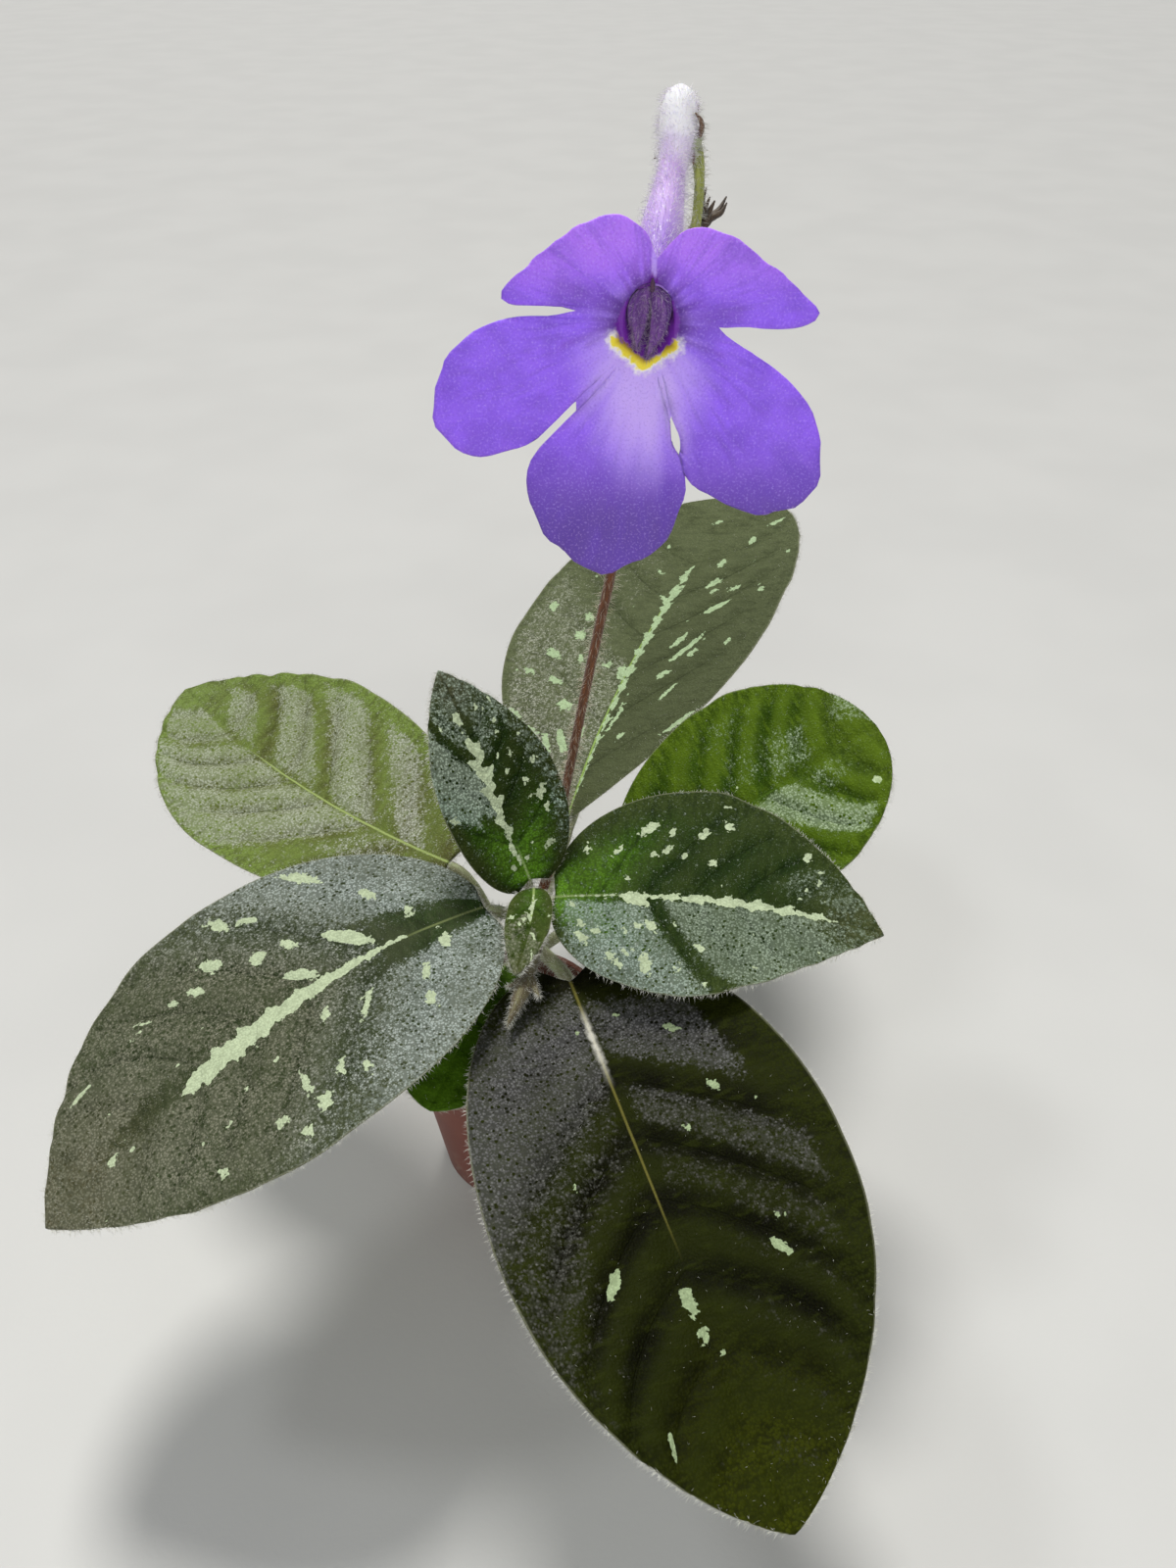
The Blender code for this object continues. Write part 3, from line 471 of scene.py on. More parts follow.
@dataclass(frozen=True)
class PotPlastic(Finish):
    """Thin matt plastic, faintly scuffed, with dust and dried splashes near its foot."""

    colour: Colour
    scuff: Colour
    dust: Colour

    def paint(self, g: Graph) -> None:
        """Paint the finish.

        Args:
            g: Graph to paint it on.
        """
        place = g.place()
        height_up = g.split(place)[2]
        clouds = g.noise(place, 14.0, 3.0)
        grain = g.noise(place, 0.5, 3.0)
        scratches = g.noise(g.stretch(place, (0.25, 0.25, 5.0)), 1.2, 2.0)
        g.colour = g.mix(g.ease(clouds, 0.35, 0.7), self.colour, g.mix(0.5, self.colour, self.scuff))
        g.coat(self.scuff, g.ease(scratches, 0.62, 0.8), 0.35)
        splash = g.ease(g.noise(place, 3.5, 3.0), 0.55, 0.68)
        g.coat(self.dust, g.times(splash, g.ease(height_up, 22.0, 2.0)), 0.4)
        rim_dust = g.ease(g.noise(place, 1.4, 3.0), 0.5, 0.75)
        g.coat(self.dust, g.times(rim_dust, g.ease(height_up, 49.0, 54.0)), 0.5)
        roughness = g.plus(0.46, g.times(clouds, 0.18))
        relief = g.plus(g.times(grain, 0.4), g.times(scratches, 0.3))
        g.finish(roughness, g.bump(relief, 0.06))


@dataclass(frozen=True)
class SoilMix(Finish):
    """Dark peaty soil, or the bark and grit in it."""

    dark: Colour
    light: Colour
    fibre: Colour

    def paint(self, g: Graph) -> None:
        """Paint the finish.

        Args:
            g: Graph to paint it on.
        """
        place = g.place()
        crumbs = g.noise(place, 1.1, 5.0)
        patches = g.noise(place, 6.0, 2.0)
        fibres = g.noise(g.stretch(place, (2.4, 0.5, 1.0)), 1.0, 4.0)
        g.colour = g.mix(g.ease(crumbs, 0.35, 0.7), self.dark, self.light)
        g.coat(self.dark, g.ease(patches, 0.5, 0.7), 0.5)
        g.coat(self.fibre, g.ease(fibres, 0.6, 0.68), 0.6)
        g.finish(0.9, g.bump(crumbs, 0.7), specular=0.25)


@dataclass(frozen=True)
class PetalFront(Finish):
    """Open face of the flower: violet with a pale centre, a yellow mark and a dark throat, with painted light
    on the top lobes, painted shade on the bottom lobe, round the throat and in the folds, and painted glints.
    """

    violet: Colour
    painted_top_light: Colour
    painted_bottom_shade: Colour
    deep: Colour
    shade: Colour
    lilac: Colour
    throat: Colour
    white: Colour
    yellow: Colour
    amber: Colour

    def paint(self, g: Graph) -> None:
        """Paint the finish.

        Args:
            g: Graph to paint it on.
        """
        flat = g.flat()
        axes = g.split(flat)
        mouth = g.read("mouth")
        fan = g.fan(axes, 14.0, g.times(g.length(axes[0], axes[1]), 0.12))
        streaks = g.noise(fan, 1.0, 3.0)
        rays = g.noise(fan, 3.2, 1.0)
        clouds = g.noise(flat, 6.0, 3.0)
        grain = g.noise(flat, 0.34, 3.0)
        painted_glint_cells, chance = g.cells(flat, 0.5)
        # Painted light and shade: the top lobes brighter and the bottom lobe darker, as light from above
        # falls on them.
        g.colour = g.mix(g.ease(axes[1], 1.0, 11.0), self.violet, self.painted_top_light)
        g.coat(self.painted_bottom_shade, g.ease(axes[1], -13.0, -29.0))
        g.coat(self.deep, g.ease(clouds, 0.4, 0.7), 0.4)
        g.coat(self.deep, g.ease(streaks, 0.48, 0.7), 0.3)
        low = g.times(g.plus(axes[1], 8.5), 0.7)
        side = g.plus(axes[0], 0.8)
        pool = g.plus(g.length(low, side), g.sway(rays, 7.0))
        g.coat(self.lilac, g.ease(pool, 11.5, 2.5), 0.9)
        # Painted shade on the top half round the throat: in its radial folds, in a band round the mouth, and
        # in the folds, creases and dimples.
        above = g.ease(axes[1], -3.6, -1.0)
        shade = g.times(g.ease(mouth, 5.5, 0.5), above, g.ease(rays, 0.4, 0.6))
        g.coat(self.shade, shade, 0.55)
        g.coat(self.shade, g.times(g.ease(mouth, 2.4, 0.0), above), 0.75)
        g.coat(self.shade, g.read("fold"), 0.9)
        # Painted highlight along the raised crest between the two top lobes.
        painted_ridge_light = g.math("ABSOLUTE", g.minus(axes[0], 0.45))
        painted_ridge_light = g.times(g.ease(painted_ridge_light, 0.55, 0.15), g.ease(axes[1], 5.2, 6.4))
        g.coat(self.lilac, g.times(painted_ridge_light, g.ease(axes[1], 12.0, 8.0)), 0.6)
        g.coat(self.lilac, g.ease(grain, 0.52, 0.72), 0.3)
        g.coat(self.deep, g.ease(grain, 0.48, 0.3), 0.25)
        # Painted glints on the petal cells.
        g.coat(srgb(214, 198, 255), g.times(g.ease(painted_glint_cells, 0.3, 0.1), g.ease(chance, 0.7, 0.85)), 0.16)
        well = g.plus(mouth, g.sway(streaks, 1.6))
        # The throat's own dark purple, with painted shade deeper inside it.
        inner = g.mix(g.ease(mouth, -1.4, -3.6), self.throat, g.mix(0.12, self.throat, srgb(22, 6, 34)))
        g.coat(inner, g.ease(well, 0.75, 0.0))
        shore = g.plus(g.read("mark"), g.sway(g.noise(flat, 0.8, 3.0), 2.0))
        g.coat(self.white, g.times(g.ease(shore, 1.8, 0.4), g.ease(mouth, -0.3, 0.5)))
        gold = g.mix(g.ease(mouth, 0.5, -0.9), self.yellow, self.amber)
        gold = g.mix(g.ease(shore, 0.5, 1.1), gold, g.mix(0.5, self.yellow, self.white))
        g.coat(gold, g.times(g.ease(shore, 0.95, 0.35), g.ease(mouth, -1.9, -1.0)))
        relief = g.bump(g.plus(g.times(streaks, 0.9), grain), 0.1)
        g.finish(0.5, relief, sheen=0.12, specular=0.3, scatter=0.4)


@dataclass(frozen=True)
class TubeSkin(Finish):
    """Outside of the flower: a white spur that turns lilac along the tube, and pale petal backs, with painted
    glints.
    """

    white: Colour
    lilac: Colour
    violet: Colour
    back: Colour

    def paint(self, g: Graph) -> None:
        """Paint the finish.

        Args:
            g: Graph to paint it on.
        """
        place = g.place()
        along = g.plus(g.read("along"), g.sway(g.noise(place, 3.0), 0.12))
        fan = g.fan(g.split(g.flat()), 7.0, g.times(g.read("along"), 2.0))
        streaks = g.noise(fan, 1.0, 3.0)
        felt = g.noise(place, 0.4, 2.0)
        g.colour = g.mix(g.ease(along, 0.13, 0.3), self.white, self.lilac)
        g.coat(self.violet, g.ease(along, 0.34, 0.72))
        g.coat(self.back, g.ease(along, 1.02, 1.15))
        g.coat(self.violet, g.times(g.ease(streaks, 0.5, 0.7), g.ease(along, 0.2, 0.4)), 0.45)
        # Painted glints on the tube's hairy skin.
        painted_gleam, chance = g.cells(g.stretch(place, (1.0, 0.6, 0.6)), 0.5)
        g.coat(srgb(246, 238, 255), g.times(g.ease(painted_gleam, 0.4, 0.2), g.ease(chance, 0.5, 0.7)), 0.55)
        height = g.plus(streaks, g.times(felt, 0.5))
        g.finish(0.55, g.bump(height, 0.12), sheen=0.4, scatter=0.4)


@dataclass(frozen=True)
class FloorPaint(Finish):
    """Plain pale floor."""

    colour: Colour

    def paint(self, g: Graph) -> None:
        """Paint the finish.

        Args:
            g: Graph to paint it on.
        """
        clouds = g.noise(g.place(), 90.0, 2.0)
        grain = g.noise(g.place(), 1.5, 2.0)
        darker = g.mix(0.06, self.colour, srgb(120, 120, 120))
        g.colour = g.mix(g.ease(clouds, 0.3, 0.7), self.colour, darker)
        g.finish(0.7, g.bump(grain, 0.04))


UNDER = LeafUnder(srgb(122, 132, 92), srgb(150, 152, 112))
SILVER_HAIR = HairSkin(srgb(232, 232, 222), srgb(196, 196, 182))
TUBE_HAIR = HairSkin(srgb(254, 252, 254), srgb(240, 232, 248))
FILAMENT_HAIR = HairSkin(srgb(196, 176, 206), srgb(140, 112, 156))


def settle(name: str, bm: bmesh.types.BMesh) -> bpy.types.Mesh:
    """Turn a finished bmesh into a mesh.

    Args:
        name: The mesh's name.
        bm: The bmesh, which is freed.

    Returns:
        The mesh.
    """
    mesh = bpy.data.meshes.new(name)
    bm.to_mesh(mesh)
    bm.free()
    return mesh


class MeshMaker:
    """Mesh being made from sheets of points."""

    def __init__(self, layers: Sequence[str] = ()) -> None:
        """Start an empty mesh.

        Args:
            layers: Names of the numbers that it holds at each vertex.
        """
        self.bm = bmesh.new()
        self.uv = self.bm.loops.layers.uv.new("flat")
        for name in layers:
            self.bm.verts.layers.float.new(name)
        self.bm.verts.index_update()

    def sheet(self, points: Array, flat: Array, **layers: Array) -> None:
        """Add a grid whose vertices are moved to a table of points, its seam and poles merged.

        Args:
            points: Places in metres, by row and column.
            flat: Place on the flat map, by row and column.
            layers: Numbers to hold at each vertex, by name.
        """
        rows, columns = points.shape[:2]
        made = bmesh.ops.create_grid(self.bm, x_segments=columns - 1, y_segments=rows - 1,
                                     size=1.0)["verts"]
        for vert, place in zip(made, points.reshape(-1, 3)):
            vert.co = place
        for name, values in layers.items():
            layer = self.bm.verts.layers.float[name]
            for vert, value in zip(made, values.reshape(-1)):
                vert[layer] = value
        spots = flat.reshape(-1, 2)
        order = {vert: index for index, vert in enumerate(made)}
        for face in {face for vert in made for face in vert.link_faces}:
            for loop in face.loops:
                loop[self.uv].uv = spots[order[loop.vert]]
        bmesh.ops.remove_doubles(self.bm, verts=made, dist=MERGE)

    def done(self, name: str, materials: Sequence[Material],
             nodes: Sequence[str] = (), closed: bool = True) -> Piece:
        """Turn the mesh into a piece of the object.

        Args:
            name: The piece's name.
            materials: Its finishes.
            nodes: Nodes that it replaces.
            closed: Whether its sheets are closed bodies.

        Returns:
            The piece.
        """
        if closed:
            bmesh.ops.recalc_face_normals(self.bm, faces=self.bm.faces)
        mesh = settle(name, self.bm)
        mesh.shade_smooth()
        return dress(name, mesh, materials, nodes)


def dress(name: str, mesh: bpy.types.Mesh, materials: Sequence[Material],
          nodes: Sequence[str] = ()) -> Piece:
    """Make a piece of the object from a mesh, riding on its body.

    Args:
        name: The piece's name.
        mesh: Its mesh, in place.
        materials: Its finishes.
        nodes: Nodes that it replaces.

    Returns:
        The piece.
    """
    piece = bpy.data.objects.new(name, mesh)
    bpy.context.scene.collection.objects.link(piece)
    for material in materials:
        mesh.materials.append(material)
    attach(piece, BODY)
    if nodes:
        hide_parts(*nodes)
    return piece


class Bar:
    """Round bar along a smooth line, with closed and rounded ends."""

    CAP = np.array([0.5, 0.85, 1.0])
    BULGE = 0.45
    ROOTED = 0.93

    def __init__(self, points: Sequence, radii: Sequence[float], rows: int, sides: int = 16,
                 ripple: float = 0.0, ribs: int = 0) -> None:
        """Work out the bar's line, its directions and its skin.

        Args:
            points: Points that its centre goes through, in metres.
            radii: Radius at each of them.
            rows: Rings along it.
            sides: Faces round it.
            ripple: Share by which the radius wavers.
            ribs: Ribs round it, as deep as the ripple.
        """
        self.centre = smooth_line([tuple(point) for point in points], rows)
        place = np.linspace(0.0, len(radii) - 1.0, rows)
        self.radius = np.interp(place, np.arange(len(radii)), radii)
        tangent = unit(np.gradient(self.centre, axis=0))
        side = np.array(Vector(tangent[0]).orthogonal().normalized())
        sides_way = []
        for row in tangent:
            side = side - row * side.dot(row)
            side = side / np.linalg.norm(side)
            sides_way.append(side)
        self.side = np.array(sides_way)
        self.up = np.cross(tangent, self.side)
        self.tangent = tangent
        self.run = np.concatenate([[0.0], np.cumsum(np.linalg.norm(np.diff(self.centre, axis=0), axis=1))])
        self.sides = sides
        self.ripple = ripple
        self.ribs = ribs

    def waver(self, run: Array, turn: Array) -> Array:
        """Give the share that the radius is multiplied by at a place.

        Args:
            run: Metres along the bar.
            turn: Share of a turn round it.

        Returns:
            The share.
        """
        angle = TURN * turn
        slow = np.sin(run / (2.3 * MM) + 2.0 * np.sin(angle))
        slow = slow + np.sin(run / (0.9 * MM) + 3.0 * np.cos(angle + 1.0))
        ribs = np.cos(angle * self.ribs) if self.ribs else 0.0
        return 1.0 + self.ripple * (0.5 * slow + ribs)

    def skin(self) -> tuple[Array, Array]:
        """Give the bar's points and its flat map, by row and column.

        Returns:
            Points with a pole at each end, and their places on the flat map in millimetres.
        """
        turn = np.linspace(0.0, 1.0, self.sides + 1)
        angle = TURN * turn
        way = (self.side[:, None, :] * np.cos(angle)[None, :, None]
               + self.up[:, None, :] * np.sin(angle)[None, :, None])
        wave = self.waver(self.run[:, None], (turn % 1.0)[None, :])
        rings = self.centre[:, None, :] + way * (self.radius[:, None] * wave)[..., None]
        table = [rings]
        run = [self.run]
        for end, sign in ((0, -1.0), (-1, 1.0)):
            cap = []
            for share in self.CAP:
                bulge = self.tangent[end] * (sign * self.BULGE * self.radius[end] * share)
                shrink = math.sqrt(max(1.0 - share * share, 0.0))
                cap.append(self.centre[end] + (rings[end] - self.centre[end]) * shrink + bulge)
            cap_run = self.run[end] + sign * 0.3 * self.radius[end] * self.CAP
            if end == 0:
                table.insert(0, np.array(cap[::-1]))
                run.insert(0, cap_run[::-1])
            else:
                table.append(np.array(cap))
                run.append(cap_run)
        points = np.concatenate(table)
        girth = TURN * float(self.radius.mean()) / MM
        flat = np.stack(np.broadcast_arrays(turn[None, :] * girth, np.concatenate(run)[:, None] / MM),
                        axis=-1)
        return points, flat

    def spots(self, rng: np.random.Generator, count: int, low: float = 0.0,
              high: float = 1.0) -> tuple[Array, Array]:
        """Draw random places on the bar.

        Args:
            rng: Source of random draws.
            count: How many places.
            low: Where they start, as a share of the rings.
            high: Where they end.

        Returns:
            Places on the skin, and the directions outwards.
        """
        place = rng.uniform(low, high, count) * (len(self.radius) - 1)
        angle = rng.uniform(0.0, TURN, count)
        rows = np.arange(len(self.radius))

        def at(table: Array) -> Array:
            """Read a table at the drawn places."""
            return np.stack([np.interp(place, rows, table[:, axis]) for axis in range(3)], axis=-1)

        out = at(self.side) * np.cos(angle)[:, None] + at(self.up) * np.sin(angle)[:, None]
        radius = np.interp(place, rows, self.radius) * self.ROOTED
        return at(self.centre) + out * radius[:, None], out


@dataclass(frozen=True)
class HairSize:
    """Size of one kind of hair in millimetres, and how much it varies, leans and droops."""

    length: float
    radius: float
    spread: float = 0.35
    lean: float = 0.35
    droop: float = 0.15


class HairKind(Enum):
    """Kinds of hair, by where they grow."""

    MARGIN = HairSize(1.35, 0.042, 0.4, 0.45, 0.2)
    FACE = HairSize(0.95, 0.026, 0.4, 0.5, 0.2)
    STALK = HairSize(2.1, 0.034, 0.4, 0.35, 0.15)
    TUBE = HairSize(1.5, 0.036, 0.4, 0.3, 0.1)
    BUD = HairSize(1.5, 0.032, 0.4, 0.45, 0.2)
    ANTHER = HairSize(0.9, 0.03, 0.35, 0.6, 0.1)


class HairCoat:
    """Coat of fine hairs, each a tapered strand of a few faces."""

    SIDES = 3
    TAPER = 0.35

    def __init__(self, seed: int) -> None:
        """Start an empty coat.

        Args:
            seed: Seed of its random draws.
        """
        self.rng = np.random.default_rng(seed)
        self.roots: list[Array] = []
        self.ways: list[Array] = []
        self.sizes: list[Array] = []

    def grow(self, roots: Array, out: Array, kind: HairKind,
             pull: Triple = (0.0, 0.0, 0.0), scale: float = 1.0) -> None:
        """Add hairs.

        Args:
            roots: Their roots.
            out: Directions that they stand in.
            kind: Which hair it is.
            pull: Direction that they lean towards.
            scale: Share of the kind's usual length.
        """
        size = kind.value
        count = len(roots)
        way = unit(out + self.rng.normal(0.0, size.lean, (count, 3)) + np.array(pull))
        length = size.length * scale * (1.0 + size.spread * self.rng.uniform(-1.0, 1.0, count))
        self.roots.append(roots)
        self.ways.append(way)
        self.sizes.append(np.stack([length * MM, np.full(count, size.radius * MM),
                                    np.full(count, size.droop)], axis=-1))

    def template(self) -> bmesh.types.BMesh:
        """Make one strand: a closed three-sided taper of height one.

        Returns:
            The strand, on its own.
        """
        bm = bmesh.new()
        bmesh.ops.create_circle(bm, cap_ends=True, segments=self.SIDES, radius=1.0)
        edges = list(bm.edges)
        verts = list(bm.verts)
        for _ in range(2):
            made = bmesh.ops.extrude_edge_only(bm, edges=edges)["geom"]
            verts = [item for item in made if isinstance(item, bmesh.types.BMVert)]
            edges = [item for item in made if isinstance(item, bmesh.types.BMEdge)
                     and item.verts[0] in verts and item.verts[1] in verts]
            bmesh.ops.translate(bm, verts=verts, vec=(0.0, 0.0, 0.5))
        bmesh.ops.pointmerge(bm, verts=verts, merge_co=(0.0, 0.0, 1.0))
        bmesh.ops.recalc_face_normals(bm, faces=bm.faces)
        return bm

    def strands(self, name: str, count: int) -> bpy.types.Mesh:
        """Stack copies of the strand over each other, so that a vertex's height tells its strand.

        Args:
            name: The mesh's name.
            count: How many strands.

        Returns:
            The mesh.
        """
        bm = self.template()
        have = 1
        while have < count:
            copies = bmesh.ops.duplicate(bm, geom=bm.verts[:] + bm.edges[:] + bm.faces[:])["geom"]
            fresh = [item for item in copies if isinstance(item, bmesh.types.BMVert)]
            bmesh.ops.translate(bm, verts=fresh, vec=(0.0, 0.0, STRAND_STEP * have))
            have *= 2
        limit = STRAND_STEP * (count - 0.25)
        bmesh.ops.delete(bm, geom=[vert for vert in bm.verts if vert.co.z > limit], context="VERTS")
        return settle(name, bm)

    def build(self, name: str, finish: HairSkin, slot: str) -> Piece:
        """Make the coat as one piece.

        Args:
            name: The piece's name.
            finish: Its finish.
            slot: Not used.

        Returns:
            The piece.
        """
        roots = np.concatenate(self.roots)
        ways = np.concatenate(self.ways)
        sizes = np.concatenate(self.sizes)
        mesh = self.strands(name, len(roots))
        coded = np.empty(len(mesh.vertices) * 3)
        mesh.vertices.foreach_get("co", coded)
        coded = coded.reshape(-1, 3)
        strand = np.floor((coded[:, 2] + 0.25) / STRAND_STEP).astype(int)
        rise = np.round((coded[:, 2] - strand * STRAND_STEP) * 2.0) / 2.0
        way = ways[strand]
        helper = np.where(np.abs(way[:, 2:3]) < 0.8, np.array([[0.0, 0.0, 1.0]]),
                          np.array([[1.0, 0.0, 0.0]]))
        side = unit(np.cross(way, helper))
        up = np.cross(way, side)
        length, radius, droop = sizes[strand].T
        taper = radius * (1.0 - self.TAPER * rise)
        sag = droop * rise ** 2 * length
        place = (roots[strand] + way * (rise * length)[:, None]
                 + side * (coded[:, 0] * taper)[:, None] + up * (coded[:, 1] * taper)[:, None])
        place[:, 2] -= sag
        mesh.vertices.foreach_set("co", place.reshape(-1))
        mesh.shade_smooth()
        return dress(name, mesh, [finish.make(name + "_finish")])


@dataclass(frozen=True)
class Patch:
    """Soft-edged area of silver between two side veins, partly the leaf's own silver marking and partly
    painted glare, and how much of it is silver.
    """

    start: float
    end: float
    right: float
    left: float
    amount: float
    slope: float = 0.0
    blur: float = 0.03

    def cover(self, s: Array, q: Array) -> Array:
        """Give the silver that the patch adds at each place.

        Args:
            s: Places along the leaf.
            q: Places across it.

        Returns:
            The silver.
        """
        t = s - self.slope * np.abs(q)
        along = soft_step(t, self.start - self.blur, self.start + self.blur)
        along = along * soft_step(t, self.end + self.blur, self.end - self.blur)
        across = soft_step(q, self.right - 0.06, self.right + 0.06)
        across = across * soft_step(q, self.left + 0.06, self.left - 0.06)
        return self.amount * along * across


@dataclass(frozen=True)
class Fleck:
    """Pale fleck: its place on the leaf, half sizes in millimetres and turn in degrees."""

    s: float
    q: float
    long: float
    wide: float
    turn: float = 0.0


@dataclass(frozen=True)
class Streak:
    """Pale jagged streak beside the midrib, its sizes in shares of the half width."""

    start: float
    end: float
    centre_start: float
    centre_end: float
    half_start: float
    half_end: float
    teeth: float = 0.35
    swell: float = 1.0


@dataclass(frozen=True)
class LeafShape:
    """Sizes of one leaf: where its blade starts, how it runs and how wide each half is."""

    name: str
    stem_height: float
    base: Triple
    length: float
    heading: float
    sweep: float
    rise: float
    droop: float
    roll: float
    left: float
    right: float
    widest: float
    base_point: float
    fullness: float
    point: float
    lobe: float
    cup: float
    veins: int
    quilt: float
    stalk_r: float


class LeafForm:
    """The curved sheet that a leaf's blade follows."""

    STATIONS = 161
    SLANT = 0.62
    START = 0.003
    RIB = 0.10
    GROOVE = 0.8

    def __init__(self, shape: LeafShape) -> None:
        """Work out the blade's centre line and its directions.

        Args:
            shape: The leaf's sizes.
        """
        self.shape = shape
        t = np.linspace(0.0, 1.0, self.STATIONS)
        yaw = np.radians(shape.heading + shape.sweep * t)
        pitch = np.radians(shape.rise - shape.droop * t)
        along = np.stack([np.cos(pitch) * np.cos(yaw), np.cos(pitch) * np.sin(yaw), np.sin(pitch)], axis=-1)
        level = np.stack([-np.sin(yaw), np.cos(yaw), 0.0 * yaw], axis=-1)
        upright = np.cross(along, level)
        roll = math.radians(shape.roll)
        step = shape.length * MM / (self.STATIONS - 1)
        run = np.cumsum(0.5 * (along[1:] + along[:-1]) * step, axis=0)
        self.t = t
        self.centre = np.concatenate([np.zeros((1, 3)), run]) + np.array(shape.base) * MM
        self.along = along
        self.side = level * math.cos(roll) + upright * math.sin(roll)
        self.normal = np.cross(along, self.side)

    def at(self, table: Array, t: Array) -> Array:
        """Read a table of directions or points at places along the blade."""
        return np.stack([np.interp(t, self.t, table[:, axis]) for axis in range(3)], axis=-1)

    def place_along(self, s: Array, q: Array) -> Array:
        """Give the place along the blade that a side vein reaches at q."""
        return s + self.SLANT * (1.0 - s) * (1.0 - (1.0 - s) ** 3) * np.abs(q) ** 1.2

    def half_width(self, t: Array, q: Array) -> Array:
        """Give the half width in millimetres on the left for q over 0, else on the right.

        Args:
            t: Places along the blade.
            q: Places across it.

        Returns:
            The half widths.
        """
        shape = self.shape
        half = np.where(q > 0, shape.left, shape.right)
        before = np.clip((shape.widest - t) / shape.widest, 0.0, 1.0) ** 2.2
        after = np.clip((t - shape.widest) / (1.0 - shape.widest), 0.0, 1.0) ** shape.fullness
        low = np.clip(1.0 - before, 0.0, 1.0) ** shape.base_point
        high = np.clip(1.0 - after, 0.0, 1.0) ** shape.point
        return half * np.where(t < shape.widest, low, high)

    def relief(self, s: Array, q: Array) -> Array:
        """Give the height in millimetres of the quilting, the sunk midrib and the waved margin.

        Args:
            s: Places along the leaf.
            q: Places across it.

        Returns:
            The heights.
        """
        shape = self.shape
        groove = np.abs(np.sin(math.pi * s * shape.veins)) ** self.GROOVE
        body = np.sin(math.pi * np.clip(s, 0.0, 1.0)) ** 0.5
        rib = np.exp(-((q / self.RIB) ** 2))
        share = (0.45 + 0.55 * (1.0 - q * q)) * (1.0 - rib)
        lattice = np.sin(np.abs(q) * 17.0 + 2.0 * np.sin(s * 21.0))
        lattice = lattice * np.sin(s * shape.veins * TURN + q * 4.0)
        margin = np.abs(q) ** 5 * (np.sin(s * 31.0 + q * 2.0) + 0.6 * np.sin(s * 57.0 + 1.0))
        quilt = (2.0 * groove - 1.0) * shape.quilt * share
        return (quilt - 0.55 * rib + 0.11 * lattice + 0.28 * margin) * body

    def points(self, s: Array, q: Array, lift: float = 0.0) -> Array:
        """Give points of the sheet.

        Args:
            s: Places along it.
            q: Places across it.
            lift: Millimetres over it.

        Returns:
            The points in metres.
        """
        s, q = np.broadcast_arrays(np.asarray(s, dtype=float), np.asarray(q, dtype=float))
        t = self.place_along(s, q)
        width = self.half_width(t, q)
        back = self.shape.lobe * np.abs(q) ** 1.5 * (1.0 - t) ** 3
        rise = self.shape.cup * width * q * q + self.relief(s, q) + lift
        off = (self.at(self.side, t) * (width * q)[..., None] + self.at(self.normal, t) * rise[..., None]
               - self.at(self.along, t) * back[..., None])
        return self.at(self.centre, t) + off * MM

    def flat(self, s: Array, q: Array) -> Array:
        """Give the places of s and q on the blade pressed flat, in millimetres.

        Args:
            s: Places along the leaf.
            q: Places across it.

        Returns:
            The flat places.
        """
        t = self.place_along(s, q)
        back = self.shape.lobe * np.abs(q) ** 1.5 * (1.0 - t) ** 3
        return np.stack([self.half_width(t, q) * q, t * self.shape.length - back], axis=-1)


@dataclass(frozen=True)
class LeafPattern:
    """Colours and marks of one leaf."""

    skin: LeafSkin
    ground: float
    patches: tuple[Patch, ...] = ()
    flecks: tuple[Fleck, ...] = ()
    streaks: tuple[Streak, ...] = ()
    specks: int = 0
    fleck_scale: float = 1.0


